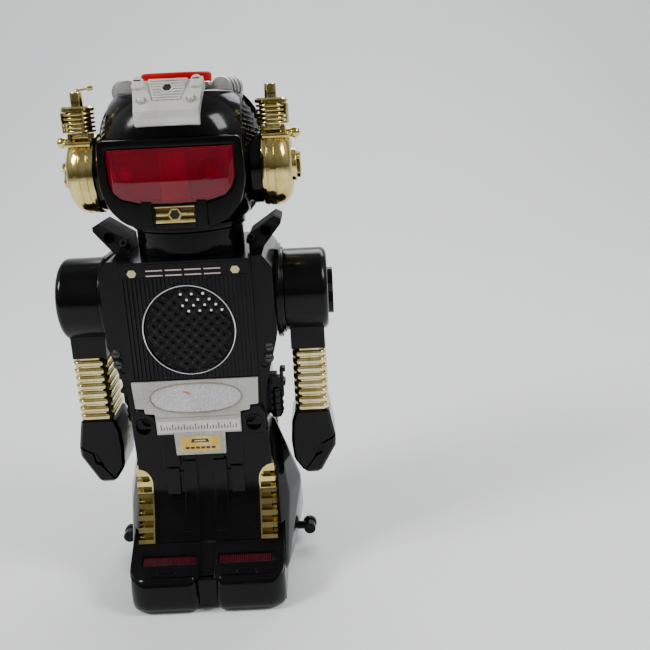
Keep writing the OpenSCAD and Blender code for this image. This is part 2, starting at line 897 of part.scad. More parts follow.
// Toothed gold trims on the four corners
module leg_trims() {
    tooth_pitch = 6.2;
    tooth_gap = 2.6;
    proud = 0.3;
    color("gold") placed() difference() {
        intersection() {
            trim_space(0);
            union() {
                slab_x(-60, 60) polygon(concat(
                    shifted(leg_front_line, -proud), [[0, 101], [0, 33.7]]
                ));
                block([-60, 0, cover_top_z + gap], [60, leg_back_y + proud, 80]);
            }
            slab_y(-60, 60) mirrored_polygon([[0, 30], [40.2, 30], [39.4, 80], [0, 80]]);
        }
        // hollow behind
        both_sides() {
            intersection() {
                block([trim_inner_x + 2, -60, 30], [36, 0, trim_top_z - 6]);
                leg_front_slice(60, 3);
            }
            block([trim_inner_x + 2, 0, 30], [36, leg_back_y - 3, trim_top_z - 6]);
        }
        // gaps between the teeth, open to the outside and to the front or back
        both_sides() for (i = [-1:4]) {
            z = 42.5 + tooth_pitch * i;
            difference() {
                block([36.8, -60, z], [42, 0, z + tooth_gap]);
                leg_front_slice(60, 7.5);
            }
            difference() {
                block([31.8, -60, z], [42, 0, z + tooth_gap]);
                leg_front_slice(60, 1.6);
            }
            if (i >= 0) {
                block([36.8, leg_back_y - 7.5, z], [42, leg_back_y + 1, z + tooth_gap]);
                block([31.8, leg_back_y - 1.6, z], [42, leg_back_y + 1, z + tooth_gap]);
            }
        }
        below_deck(gap);
    }
}

// ---------- base ----------

// Plan of the base with rounded toes and heels, drawn t inside the outer face
module base_plan(t) {
    soft_rect([-base_front_half_w + t, toe_y + t], [base_front_half_w - t, 36], 10 - t);
    soft_rect([-base_rear_half_w + t, -20], [base_rear_half_w - t, heel_y - t], 6 - t);
}

// Side view of the base: round toe and heel
module base_profile(t) {
    heel_r = 4;
    z0 = tray_floor_z + t;
    translate([toe_y + toe_r, tray_floor_z + toe_r]) circle(r = toe_r - t);
    translate([toe_y + toe_r, z0]) square([heel_y - heel_r - toe_y - toe_r, deck_z + 1 - z0]);
    translate([heel_y - 20, z0 + heel_r - t]) square([20 - t, deck_z + 1 - heel_r - z0]);
    translate([heel_y - heel_r, z0 + heel_r - t]) circle(r = heel_r - t);
}

// Everything below the rim of the tray; the inside reaches a little higher
module below_rim(t) {
    up = t > 0 ? 1 : -gap;
    slab_x(-60, 60) polygon(concat(
        [[-70, 0], [-70, deck_underside[0].y + up]], [for (p = deck_underside) p + [0, up]],
        [[36, deck_z + max(up, 0)], [36, ledge_z - t], [60, ledge_z - t], [60, 0]]
    ));
}

module base_body(t) {
    intersection() {
        translate([0, 0, -5]) linear_extrude(60) base_plan(t);
        slab_x(-60, 60) base_profile(t);
        below_rim(t);
    }
}

module base_tray() {
    wheel_room = 6.1;
    color("#1a1a1c") placed() difference() {
        union() {
            difference() {
                base_body(0);
                base_body(wall);
            }
            // bearing blocks of the rear wheels
            both_sides() block([36.4, rear_axle_y - 3.5, tray_floor_z], [38.6, rear_axle_y + 3.5, 12]);
            // screw bosses
            both_sides() for (p = base_screws) intersection() {
                rod_z(tray_floor_z, deck_z - gap, p.x, p.y, 4);
                below_rim(0);
            }
            // battery box, open below
            difference() {
                block([-box_half_w, box_y0, tray_floor_z], [box_half_w, box_y1, box_top_z]);
                block([-box_half_w + 1, box_y0 + 0.6, 0], [box_half_w - 1, box_y1 - 0.6, box_top_z - 1.4]);
            }
            // glides under the toes
            both_sides() rod_z(0, tray_floor_z + 1, 22, glide_y, 5);
            // wall behind the groove between the feet
            intersection() {
                block([-8, toe_y + 3.4, tray_floor_z], [8, toe_y + 5.6, 21]);
                base_body(0);
            }
            // vertical ribs on the heel
            for (x = [-24, -12, 12, 24]) block([x - 1.2, heel_y - 3, 5], [x + 1.2, heel_y, 27]);
        }
        // drive truck and battery openings
        rod_z(-1, 10, 0, truck_y, truck_r + 0.6);
        block([-box_half_w + 1, box_y0 + 0.6, 0], [box_half_w - 1, box_y1 - 0.6, 10]);
        both_sides() block([29.4, rear_axle_y - wheel_room, -1], [35.6, rear_axle_y + wheel_room, 4]);
        // groove between the feet
        block([-groove_half_w, toe_y - 1, -1], [groove_half_w, toe_y + 3.5, 60]);
        // bearings of the rear axle
        rod_x(-39.8, 39.8, rear_axle_y, rear_wheel_r, rear_axle_r + running_fit);
        both_sides() for (p = base_screws) {
            rod_z(-1, 60, p.x, p.y, 1.5);
            rod_z(-1, 4, p.x, p.y, 3);
        }
    }
}

// Upper deck of the feet, with the bearing of the drive truck
module foot_cover() {
    color("#1a1a1c") placed() difference() {
        union() {
            intersection() {
                translate([0, 0, 10]) linear_extrude(50) base_plan(0.3);
                slab_x(-60, 60) polygon(concat(
                    deck_line, [[35.9, cover_top_z], [35.9, deck_z + gap]],
                    [for (i = [2:-1:0]) deck_underside[i]]
                ));
            }
            rod_z(29.4, cover_top_z, 0, truck_y, 8);
        }
        rod_z(20, 50, 0, truck_y, truck_pivot_r + running_fit);
        block([-box_half_w - gap, box_y0 - gap, 30], [box_half_w + gap, 40, 50]);
        // lamp windows and the groove between the feet
        both_sides() block([lamp_x0, lamp_y0, 15], [lamp_x1, lamp_y1, 50]);
        slab_x(-groove_half_w, groove_half_w) polygon([
            [-62, 20], [deck_line[0].x, 20], [-42.5, 32], [-42.5, 50], [-62, 50]
        ]);
        // screws from below
        both_sides() for (p = base_screws) rod_z(20, base_screw_top_z + 0.2, p.x, p.y, 1.3);
    }
}

// Ribbed red lenses let into the slope of the feet
module foot_lamps() {
    ribs = 14;
    pitch = (lamp_x1 - lamp_x0) / ribs;
    slope = (deck_line[1].y - deck_line[0].y) / (deck_line[1].x - deck_line[0].x);
    function deck_at(y) = deck_line[0].y + slope * (y - deck_line[0].x);
    module lens(depth) {
        slab_x(lamp_x0 + gap, lamp_x1 - gap) polygon([
            [lamp_y0 + gap, deck_at(lamp_y0) - depth - 2.4], [lamp_y0 + gap, deck_at(lamp_y0) - depth],
            [lamp_y1 - gap, deck_at(lamp_y1) - depth], [lamp_y1 - gap, deck_at(lamp_y1) - depth - 2.4]
        ]);
    }
    color("#b01018") placed() both_sides() difference() {
        lens(0.5);
        // grooves between the ribs
        difference() {
            for (i = [1:ribs]) let (x = lamp_x0 + pitch * i)
                block([x - 0.8, lamp_y0 - 1, 15], [x, lamp_y1 + 1, 50]);
            lens(1.1);
            translate([0, 0, -2]) lens(1.1);
        }
    }
}

// Bulging fenders on both sides of the legs
module side_pods() {
    // centre and radius of the balls that the fender is stretched over
    balls = [
        [34, -8, 87, 7], [37, -14, 46, 16.5], [37, 4, 44, 15.5],
        [36, -8, 16, 17.2], [36, -36, 17, 15], [36, 28, 17, 15.5]
    ];
    module blob(t) {
        hull() for (b = balls) translate([b[0], b[1], b[2]]) sphere(r = b[3] - t, $fn = 30);
    }
    color("#151517") placed() both_sides() difference() {
        intersection() {
            blob(0);
            // beside the base, on its upper deck beside the trims, and close to the legs between them
            union() {
                block([base_front_half_w + gap, -70, 3], [60, 60, cover_top_z + 1]);
                block([leg_half_w + 1.9, -70, cover_top_z], [60, 60, 100]);
                block([leg_half_w + gap, trim_back_y + gap, cover_top_z], [60, 27.5, 100]);
            }
        }
        intersection() {
            blob(wall);
            union() {
                block([base_front_half_w - 1, -70, 3 + wall], [60, 60, 100]);
                block([leg_half_w, -70, cover_top_z + wall], [60, 60, 100]);
            }
        }
        // seat of the exhaust nozzle
        rod_x(40, 60, 4, 13, 2.6);
    }
}

// Nozzles low on the sides, with a ring and an open mouth to the rear
module exhaust_nozzles() {
    color("#151517") placed() both_sides() difference() {
        union() {
            rod_x(base_front_half_w + 0.3, 57, 4, 13, 2.5);
            rod_y(-1, 9, 57, 13, 3.6);
            rod_y(5, 8, 57, 13, 4.3);
        }
        rod_y(3, 10, 57, 13, 2);
    }
}

module battery_cells() {
    color("steelblue") placed() both_sides() {
        rod_z(4.6, 52.8, cell_x, cell_y, cell_r - 0.2);
        rod_z(52.8, 54.6, cell_x, cell_y, 3.2);
    }
}

module battery_door() {
    color("#1a1a1c") placed() difference() {
        block([-box_half_w + 1.1, box_y0 + 0.7, tray_floor_z + 0.2],
              [box_half_w - 1.1, box_y1 - 0.7, tray_floor_z + 2.2]);
        for (x = [-6:3:6]) block([x - 0.6, box_y1 - 8, 0], [x + 0.6, box_y1 - 3, tray_floor_z + 0.8]);
    }
}

// Slide switch: face plate, housing and the channel of its knob
module switch_unit() {
    y = torso_back_y;
    color("silver") placed() difference() {
        union() {
            block([-switch_half_w, y - 1.6, switch_z0], [switch_half_w, y - 0.8, switch_z1]);
            block([-8, y - 10, switch_z0 + 0.8], [8, y - 1, switch_z1 - 0.8]);
        }
        block([-5.4, y - 8, 66.9], [5.4, y + 1, 71.3]);
    }
}

module switch_knob() {
    y = torso_back_y;
    rest_x = switch_travel / 2;
    color("orange") placed() {
        block([rest_x - 2.4, y - 7.7, 67.2], [rest_x + 2.4, y + 3.2, 71]);
    }
}

// Case screws, the hatch screw and the screws under the base
module case_screws() {
    color("silver") placed() {
        both_sides() {
            rod_y(screw_seat_y - 2.3, screw_seat_y, case_screw_x, case_screw_z, 3);
            rod_y(screw_seat_y - 0.1, boss_end_y, case_screw_x, case_screw_z, 1.25);
            for (p = base_screws) {
                rod_z(tray_floor_z + 0.4, 3.9, p.x, p.y, 2.8);
                rod_z(3.9, base_screw_top_z, p.x, p.y, 1.25);
            }
        }
        rod_y(torso_back_y - 1, torso_back_y - 0.1, 0, 127, 2.6);
        rod_y(torso_back_y - 9, torso_back_y - 1, 0, 127, 1.2);
    }
}

// ---------- arms ----------

// Shoulder drum with its hub, elbow block and two-lobed end boss
module upper_arm() {
    round_r = 4;
    length = drum_outer_x - drum_inner_x;
    difference() {
        union() {
            translate([drum_inner_x, 0, shoulder_z]) rotate([0, 90, 0]) rotate_extrude() {
                square([drum_r, length - round_r]);
                square([drum_r - round_r, length]);
                translate([drum_r - round_r, length - round_r]) circle(r = round_r);
            }
            for (z = [-5.2, 5.2]) rod_x(drum_outer_x - 1, 78, 0, shoulder_z - 1.5 + z, 8.2);
            block([52.6, -13.5, 137], [72, 13.5, 152]);
        }
        // hollow drum
        rod_x(drum_inner_x - 1, drum_outer_x - wall, 0, shoulder_z, drum_r - wall);
        // socket of the forearm
        block([55, -11, 130], [69.6, 11, 143]);
    }
    difference() {
        rod_x(43, drum_outer_x - wall + 0.1, 0, shoulder_z, hub_r);
        rod_x(42, 60, 0, shoulder_z, 1.3);
    }
}

// Ribbed plated forearm
module forearm() {
    ribs = 8;
    rib_pitch = 4.7;
    rib_h = 3.4;
    x0 = 52.8;
    x1 = 72.7;
    z0 = 99.5;
    bevel = 2.5;
    module section(t) {
        polygon([
            [x0 + t + bevel, -15 + t], [x1 - t - bevel, -15 + t], [x1 - t, -15 + t + bevel],
            [x1 - t, 15 - t - bevel], [x1 - t - bevel, 15 - t], [x0 + t + bevel, 15 - t],
            [x0 + t, 15 - t - bevel], [x0 + t, -15 + t + bevel]
        ]);
    }
    translate([0, 0, z0]) linear_extrude(136.9 - z0) section(1.3);
    for (i = [0:ribs - 1]) translate([0, 0, z0 + rib_pitch * i]) linear_extrude(rib_h) section(0);
    // spigot in the elbow block
    block([55.1, -10.9, 136], [69.5, 10.9, 142.5]);
}

// Closed pincer hand, split by a stepped groove
module hand() {
    difference() {
        slab_y(-14, 14) polygon([
            [53, 99.4], [72.6, 99.4], [75.8, 82], [75.6, 76], [66, 58.8], [57, 58.8],
            [50.6, 68], [49.6, 80], [50.4, 92]
        ]);
        for (face_y = [-15, 12.8]) {
            // the upper and lower runs of the groove and the notch between them
            slab_y(face_y, face_y + 2.2) {
                polygon([[77, 82.8], [77, 81.8], [66, 75.4], [65.6, 76.3]]);
                polygon([[65.2, 77], [68.4, 77], [66.8, 70.4], [63.6, 69.2]]);
                polygon([[67, 72], [67, 71], [56.8, 58], [55.8, 58.6]]);
            }
        }
        // bevels along the long front and rear edges
        for (s = [-1, 1]) translate([49.5, 14 * s, 80]) rotate([0, 0, 45]) cube([3, 3, 60], center = true);
    }
}

// Washer and screw that hold the arm in its bush from inside
module arm_retainer() {
    rod_x(41, 43, 0, shoulder_z, 11);
    rod_x(38.8, 41, 0, shoulder_z, 2.8);
    rod_x(43, 52, 0, shoulder_z, 1.3);
}

module upper_arm_left() {
    color("#161618") placed() upper_arm();
}

module upper_arm_right() {
    color("#161618") placed() on_side(-1) upper_arm();
}

module forearm_left() {
    color("gold") placed() forearm();
}

module forearm_right() {
    color("gold") placed() on_side(-1) forearm();
}

module hand_left() {
    color("#161618") placed() hand();
}

module hand_right() {
    color("#161618") placed() on_side(-1) hand();
}

module arm_retainer_left() {
    color("silver") placed() arm_retainer();
}

module arm_retainer_right() {
    color("silver") placed() on_side(-1) arm_retainer();
}

// ---------- running gear ----------

module in_truck() {
    placed() translate([0, truck_y, 0]) children();
}

// Swivelling frame with its pivot and the bearings of three shafts
module drive_truck() {
    color("#d8d4c8") in_truck() difference() {
        union() {
            rod_z(25.2, 26.8, 0, 0, 25);
            for (x = [-15, 13]) block([x, -12, 5], [x + 2, 20, 25.6]);
            rod_z(26, 39.5, 0, 0, truck_pivot_r);
            rod_z(38.4, 39.5, 0, 0, truck_pivot_r + 0.7);
        }
        rod_x(-20, 20, axle_y, axle_z, axle_r + running_fit);
        rod_x(-20, 20, idler_y, idler_z, idler_shaft_r + running_fit);
        rod_x(-20, -12, motor_y, motor_z, idler_shaft_r + running_fit);
    }
}

module drive_motor() {
    color("silver") in_truck() difference() {
        rod_x(-2.4, 13, motor_y, motor_z, motor_r);
        rod_x(-5, 8, motor_y, motor_z, idler_shaft_r + running_fit);
    }
}

// Motor shaft and pinion
module motor_pinion() {
    color("gold") in_truck() {
        rod_x(-14, 7, motor_y, motor_z, idler_shaft_r);
        gear_x(-6.3, motor_y, motor_z, pinion_teeth, 3, 180 + motor_angle);
    }
}

// Compound gear between motor and axle
module idler_gear() {
    // a tooth of the large wheel points at the pinion's gap, a gap of the small one at the axle
    big_phase = motor_angle + 180 / idler_big_teeth;
    small_phase = 180 + idler_angle + 180 / idler_small_teeth;
    color("white") in_truck() {
        rod_x(-14.8, 14.8, idler_y, idler_z, idler_shaft_r);
        gear_x(-6, idler_y, idler_z, idler_big_teeth, 2.4, big_phase);
        gear_x(-10.4, idler_y, idler_z, idler_small_teeth, 4.5, small_phase);
    }
}

// Drive axle with its gear
module drive_axle() {
    color("silver") in_truck() {
        rod_x(-22.4, 22.4, axle_y, axle_z, axle_r);
        gear_x(-10.2, axle_y, axle_z, axle_teeth, 3, idler_angle);
    }
}

module drive_wheels() {
    color("#2a2a2a") in_truck() both_sides() difference() {
        rod_x(16.6, 22.2, axle_y, axle_z, drive_wheel_r);
        rod_x(16, 23, axle_y, axle_z, axle_r);
        rod_x(20.8, 23, axle_y, axle_z, 7);
    }
}

// Free-running wheels on their own axle under the heel
module rear_wheels() {
    color("#2a2a2a") placed() {
        rod_x(-39.5, 39.5, rear_axle_y, rear_wheel_r, rear_axle_r);
        both_sides() rod_x(30, 35, rear_axle_y, rear_wheel_r, rear_wheel_r);
    }
}

head_front_shell();
head_rear_shell();
head_base();
neck_retainer();
visor_bezel();
visor_lens();
visor_centre_strip();
eye_reflectors();
eye_bulbs();
mouth_vent();
forehead_block();
crown_ring();
crown_lamp();
crown_rolls();
ear_cup_left();
ear_cup_right();
ear_bases();
antenna_left();
antenna_right();
torso_front_shell();
torso_rear_shell();
rear_grille();
rear_hatch();
neck_tube();
collar_wings();
shoulder_collars();
speaker_ring();
speaker_grille();
speaker();
circuit_board();
chest_plate();
waist_clips();
leg_front_shell();
leg_rear_shell();
leg_trims();
foot_cover();
base_tray();
foot_lamps();
side_pods();
exhaust_nozzles();
battery_cells();
battery_door();
switch_unit();
case_screws();
upper_arm_left();
upper_arm_right();
forearm_left();
forearm_right();
hand_left();
hand_right();
arm_retainer_left();
arm_retainer_right();
switch_knob();
drive_truck();
drive_motor();
motor_pinion();
idler_gear();
drive_axle();
drive_wheels();
rear_wheels();
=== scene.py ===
import json
from math import atan2, cos, degrees, exp, hypot, log, pi, radians, sin

import bmesh
import bpy
from mathutils import Matrix, Vector


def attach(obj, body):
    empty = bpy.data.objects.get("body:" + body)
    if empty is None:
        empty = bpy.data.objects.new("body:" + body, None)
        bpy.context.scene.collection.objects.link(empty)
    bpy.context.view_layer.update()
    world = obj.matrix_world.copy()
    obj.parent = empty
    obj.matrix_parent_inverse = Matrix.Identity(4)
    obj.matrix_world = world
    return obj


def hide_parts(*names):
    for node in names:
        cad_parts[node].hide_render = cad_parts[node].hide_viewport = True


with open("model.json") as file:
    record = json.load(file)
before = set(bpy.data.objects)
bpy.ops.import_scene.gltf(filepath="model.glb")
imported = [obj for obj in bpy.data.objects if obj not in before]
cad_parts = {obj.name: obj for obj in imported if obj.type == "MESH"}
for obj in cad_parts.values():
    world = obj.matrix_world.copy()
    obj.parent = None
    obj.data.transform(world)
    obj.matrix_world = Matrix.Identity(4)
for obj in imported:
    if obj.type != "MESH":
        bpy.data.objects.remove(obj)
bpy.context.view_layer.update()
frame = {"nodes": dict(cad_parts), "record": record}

# ---------- driving dimensions, in millimetres, around the robot's neck axis ----------

MM = 0.001
AXIS_Y = 8.5             # the neck axis lies this far behind the frame's origin
HEAD_R = 46.0
HEAD_MID_Z = 244.0
HEAD_TOP_Z = 281.0
HEAD_BOTTOM_Z = 213.0
HEAD_TOP_R = 30.0
HEAD_BOTTOM_R = 31.0
HEAD_TOP_POWER = 2.6
HEAD_BOTTOM_POWER = 2.2
HEAD_HALF_DEPTH = 41.0
HEAD_WALL = 2.0
CHEST_Y = -36.0
FLANGE_Y = -33.0
BACK_Y = 38.0
SPEAKER_Z = 158.5
EAR_Y, EAR_Z = -6.0, 240.0
SIDES = (1, -1)          # the robot's left and right
HANDS = ((1, "left"), (-1, "right"))

SLOTS = {s["node"]: s["material_slot"] for s in frame["record"]["subparts"]}
BODY_OF = {n: b for b, ns in frame["record"]["behaviour"]["bodies"].items() for n in ns}


def placed(x, y, z, angle=0.0, axis="X"):
    """A frame at x, y, z, turned about one of its own axes by an angle in degrees."""
    return Matrix.Translation((x, y, z)) @ Matrix.Rotation(radians(angle), 4, axis)


# ---------- camera, floor and light ----------

def linked(name, data):
    """A new object in the scene."""
    obj = bpy.data.objects.new(name, data)
    bpy.context.scene.collection.objects.link(obj)
    return obj


def make_camera():
    """The view of the front robot: a little above it and to its left."""
    data = bpy.data.cameras.new("camera")
    data.sensor_width = 36.0
    data.lens = 44.15
    camera = linked("camera", data)
    pitch, roll = 17.1, -2.7
    place = Vector((72.5, AXIS_Y - 444, 283)) * MM
    camera.matrix_world = placed(*place, 90 - pitch) @ placed(0, 0, 0, roll, "Z")
    bpy.context.scene.camera = camera


def area_light(name, place, size, power):
    data = bpy.data.lights.new(name, "AREA")
    data.shape = "RECTANGLE"
    data.size, data.size_y = size
    data.energy = power
    light = linked(name, data)
    light.location = place
    light.rotation_euler = (Vector((0, 0, 0.15)) - Vector(place)).to_track_quat("-Z", "Y").to_euler()


def make_light():
    """Three soft lights and a sky that is dim at the horizon, at the zenith and on the camera's side."""
    area_light("left", (-0.95, -0.5, 1.05), (0.4, 0.4), 16.0)
    area_light("right", (1.0, -0.4, 1.0), (0.35, 0.5), 12.0)
    area_light("back", (0.2, 1.0, 1.1), (1.3, 0.5), 13.0)
    world = bpy.data.worlds.new("studio")
    graph = Graph(world, "Generated")
    split = graph.nodes.new("ShaderNodeSeparateXYZ")
    graph.link(graph.place, split.inputs["Vector"])
    low, high, front = (graph.ramp(split.outputs[axis], *span) for axis, span in (
        ("Z", (-0.05, 0.5, 0.16, 1.0)), ("Z", (0.6, 0.95, 1.0, 0.42)), ("Y", (-0.7, 0.3, 0.36, 1.0))))
    sky = graph.nodes["Background"]
    graph.link(graph.product(graph.product(low, high), front), sky.inputs["Strength"])
    sky.inputs["Color"].default_value = (0.97, 0.98, 1.0, 1)
    bpy.context.scene.world = world


def make_stage():
    """One sheet that is the floor and curves up behind the robot."""
    bm = bmesh.new()
    bend, back, half = 0.45, 1.2, 3.0
    path = [(-3.0, 0.0), (back - bend, 0.0)]
    path += [(back - bend + bend * sin(a), bend - bend * cos(a)) for a in (radians(9 * i) for i in range(1, 11))]
    path += [(back, 3.0)]
    rows = [[bm.verts.new((x, y, z)) for x in (-half, half)] for y, z in path]
    for a, b in zip(rows, rows[1:]):
        bm.faces.new((a[0], a[1], b[1], b[0]))
    stage = mesh_object("stage_floor", bm)
    grey = bpy.data.materials.new("stage_grey")
    graph = Graph(grey, "Object")
    shader = graph.nodes["Principled BSDF"]
    shader.inputs["Roughness"].default_value = 0.8
    colour = (0.8, 0.81, 0.82)
    base = graph.mix(graph.noise(6.0, 2.0), tuple(c * 0.97 for c in colour), colour)
    graph.link(base, shader.inputs["Base Color"])
    stage.data.materials.append(grey)


# ---------- mesh helpers ----------

def mesh_object(name, bm, smooth=True):
    mesh = bpy.data.meshes.new(name)
    bm.to_mesh(mesh)
    bm.free()
    for p in mesh.polygons:
        p.use_smooth = smooth
    return linked(name, mesh)


def cad_mesh(node):
    """A CAD node's mesh with its doubled points joined."""
    bm = bmesh.new()
    bm.from_mesh(frame["nodes"][node].data)
    bmesh.ops.remove_doubles(bm, verts=bm.verts, dist=1e-6)
    return bm


def round_edges(obj, width):
    mod = obj.modifiers.new("bevel", "BEVEL")
    mod.width = width * MM
    mod.segments = 2
    mod.limit_method = "ANGLE"
    mod.angle_limit = radians(32)
    mod.use_clamp_overlap = True


def soften_cad(node, width):
    """A copy of a CAD node with its edges rounded takes the node's place."""
    bm = cad_mesh(node)
    if node != "torso_rear_shell":
        # flat faces are joined first, except where a hole would leave a keyhole face
        bmesh.ops.dissolve_limit(bm, angle_limit=radians(0.6), verts=bm.verts, edges=bm.edges)
    obj = mesh_object(node + "_piece", bm)
    obj.data.materials.clear()
    round_edges(obj, width)
    obj.modifiers.new("normals", "WEIGHTED_NORMAL").keep_sharp = True
    give(obj, node, ["black_worn" if node == "collar_wings" else slot_material(node)])


def give(obj, node, materials=("black_gloss",), replaces=True):
    """Hands a piece to the frame: it moves with the node's body and may stand for the node."""
    for name in materials:
        obj.data.materials.append(material(name))
    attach(obj, BODY_OF[node])
    if replaces:
        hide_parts(node)


AXES = {"x": ((0, 1, 0), (0, 0, 1), (1, 0, 0)),
        "y": ((1, 0, 0), (0, 0, 1), (0, 1, 0)),
        "z": ((1, 0, 0), (0, 1, 0), (0, 0, 1))}


class Build:
    """Collects closed solids, drawn in millimetres around the neck axis or in a frame, into one piece."""

    def __init__(self, move=None):
        self.bm = bmesh.new()
        self.move = move

    def take(self, part, bevel=0.0, index=0, segments=2, move=None):
        """Adds one solid, with its sharp edges rounded by bevel and its own material index."""
        move = move or self.move
        if move:
            bmesh.ops.transform(part, matrix=move, verts=part.verts)
        bmesh.ops.recalc_face_normals(part, faces=part.faces)
        if bevel:
            sharp = [e for e in part.edges if len(e.link_faces) == 2 and e.calc_face_angle(0) > 0.5]
            bmesh.ops.bevel(part, geom=sharp, offset=bevel, segments=segments, profile=0.5,
                            affect="EDGES", clamp_overlap=True)
        for face in part.faces:
            face.material_index = index
        mesh = bpy.data.meshes.new("part")
        part.to_mesh(mesh)
        part.free()
        self.bm.from_mesh(mesh)
        bpy.data.meshes.remove(mesh)
        return self

    def loft(self, sections, closed=False, **how):
        """Joins outlines of equal point count; closed makes a ring of them, else both ends are capped."""
        part = bmesh.new()
        rings = [[part.verts.new(p) for p in section] for section in sections]
        if closed:
            rings.append(rings[0])
        else:
            part.faces.new(rings[0])
            part.faces.new(rings[-1])
        count = len(rings[0])
        for a, b in zip(rings, rings[1:]):
            for i in range(count):
                j = (i + 1) % count
                part.faces.new((a[i], a[j], b[j], b[i]))
        bmesh.ops.remove_doubles(part, verts=part.verts, dist=1e-5)
        return self.take(part, **how)

    def prism(self, outline, axis, lo, hi, **how):
        """An outline extruded along an axis from lo to hi."""
        u, v, w = (Vector(d) for d in AXES[axis])
        return self.loft([[u * p[0] + v * p[1] + w * k for p in outline] for k in (lo, hi)], **how)

    def box(self, a, b, **how):
        """A box between two opposite corners, in any order."""
        (x0, x1), (y0, y1), (z0, z1) = (sorted(pair) for pair in zip(a, b))
        return self.prism([(x0, y0), (x1, y0), (x1, y1), (x0, y1)], "z", z0, z1, **how)

    def rod(self, axis, lo, hi, u, v, r, sides=48, **how):
        return self.prism(circle(u, v, r, sides), axis, lo, hi, **how)

    def ring(self, axis, lo, hi, u, v, r_in, r_out, sides=96, **how):
        return self.lathe([(r_in, lo), (r_out, lo), (r_out, hi), (r_in, hi)], axis, u, v, sides, **how)

    def border(self, outer, inner, lo, hi, axis="y", **how):
        """A flat band between two outlines of equal point count."""
        for i in range(len(outer)):
            j = (i + 1) % len(outer)
            self.prism([outer[i], outer[j], inner[j], inner[i]], axis, lo, hi, **how)

    def lathe(self, profile, axis, u, v, sides=96, **how):
        """A closed profile of radius and height turned about an axis through u, v."""
        du, dv, dw = (Vector(d) for d in AXES[axis])
        sections = []
        for i in range(sides):
            a = 2 * pi * i / sides
            side = du * cos(a) + dv * sin(a)
            sections.append([du * u + dv * v + side * r + dw * h for r, h in profile])
        return self.loft(sections, closed=True, **how)

    def sheet(self, point, rows, cols, wall, **how):
        """A closed shell: point(i, j, depth) gives the outer face at depth 0 and the inner at wall."""
        part = bmesh.new()
        skin = [[[part.verts.new(point(i, j, d)) for j in range(cols)] for i in range(rows)]
                for d in (0.0, wall)]
        for i in range(rows - 1):
            for j in range(cols - 1):
                for s in skin:
                    part.faces.new((s[i][j], s[i][j + 1], s[i + 1][j + 1], s[i + 1][j]))
        for j in range(cols - 1):
            for i in (0, rows - 1):
                part.faces.new((skin[0][i][j], skin[0][i][j + 1], skin[1][i][j + 1], skin[1][i][j]))
        for i in range(rows - 1):
            for j in (0, cols - 1):
                part.faces.new((skin[0][i][j], skin[0][i + 1][j], skin[1][i + 1][j], skin[1][i][j]))
        return self.take(part, **how)

    def hull(self, points, **how):
        """The smallest convex solid round a set of points."""
        part = bmesh.new()
        for p in points:
            part.verts.new(p)
        made = bmesh.ops.convex_hull(part, input=part.verts)
        loose = [v for v in made["geom_interior"] if isinstance(v, bmesh.types.BMVert)]
        bmesh.ops.delete(part, geom=loose, context="VERTS")
        return self.take(part, **how)

    def cad(self, node):
        """A copy of a CAD node, to be reworked."""
        return self.take(cad_mesh(node),
                         move=Matrix.Translation((0, -AXIS_Y, 0)) @ Matrix.Diagonal((1000, 1000, 1000, 1)))

    def cut(self, other):
        """Takes another build's solids away from this one."""
        body, tool = (mesh_object("cut", build.bm, smooth=False) for build in (self, other))
        mod = body.modifiers.new("cut", "BOOLEAN")
        mod.operation = "DIFFERENCE"
        mod.solver = "MANIFOLD"
        mod.object = tool
        bpy.context.view_layer.update()
        graph = bpy.context.evaluated_depsgraph_get()
        mesh = bpy.data.meshes.new_from_object(body.evaluated_get(graph))
        self.bm = bmesh.new()
        self.bm.from_mesh(mesh)
        for obj in (body, tool):
            bpy.data.objects.remove(obj)
        bpy.data.meshes.remove(mesh)
        return self

    def piece(self, name, sharp=40, weighted=True, soften=0.0):
        """The finished object in metres, in the frame's own place."""
        shift = Matrix.Diagonal((MM, MM, MM, 1)) @ Matrix.Translation((0, AXIS_Y, 0))
        bmesh.ops.transform(self.bm, matrix=shift, verts=self.bm.verts)
        obj = mesh_object(name, self.bm)
        if soften:
            round_edges(obj, soften)
        else:
            obj.data.set_sharp_from_angle(angle=radians(sharp))
        if weighted:
            obj.modifiers.new("normals", "WEIGHTED_NORMAL").keep_sharp = True
        return obj


def circle(u, v, r, sides=48, start=0.0):
    return [(u + r * cos(start + 2 * pi * i / sides),
             v + r * sin(start + 2 * pi * i / sides)) for i in range(sides)]


def rounded(x0, y0, x1, y1, r, steps=5):
    """A rectangle with round corners."""
    out = []
    for cx, cy, a0 in ((x1 - r, y0 + r, -90), (x1 - r, y1 - r, 0), (x0 + r, y1 - r, 90), (x0 + r, y0 + r, 180)):
        for k in range(steps + 1):
            a = radians(a0 + 90 * k / steps)
            out.append((cx + r * cos(a), cy + r * sin(a)))
    return out


def fillet(points, r, steps=4):
    """A closed outline with its corners rounded off."""
    out = []
    for i in range(len(points)):
        before, corner, after = (Vector(points[j % len(points)]) for j in (i - 1, i, i + 1))
        a = corner + (before - corner).normalized() * min(r, (before - corner).length * 0.45)
        b = corner + (after - corner).normalized() * min(r, (after - corner).length * 0.45)
        for k in range(steps + 1):
            t = k / steps
            q = a * (1 - t) ** 2 + corner * (2 * t * (1 - t)) + b * t * t
            out.append((q.x, q.y))
    return out


def grown(points, d):
    """An anticlockwise outline moved outward by d."""
    out = []
    for i in range(len(points)):
        before, corner, after = (Vector(points[j % len(points)]) for j in (i - 1, i, i + 1))
        t = ((corner - before).normalized() + (after - corner).normalized()).normalized()
        out.append((corner.x + t.y * d, corner.y - t.x * d))
    return out


def smooth_step(lo, hi, value):
    t = min(max((value - lo) / (hi - lo), 0.0), 1.0)
    return t * t * (3 - 2 * t)


def mirrored(outline):
    """The whole outline from its right half, listed from the lower middle to the upper middle."""
    return outline + [(-u, v) for u, v in reversed(outline) if abs(u) > 1e-9]


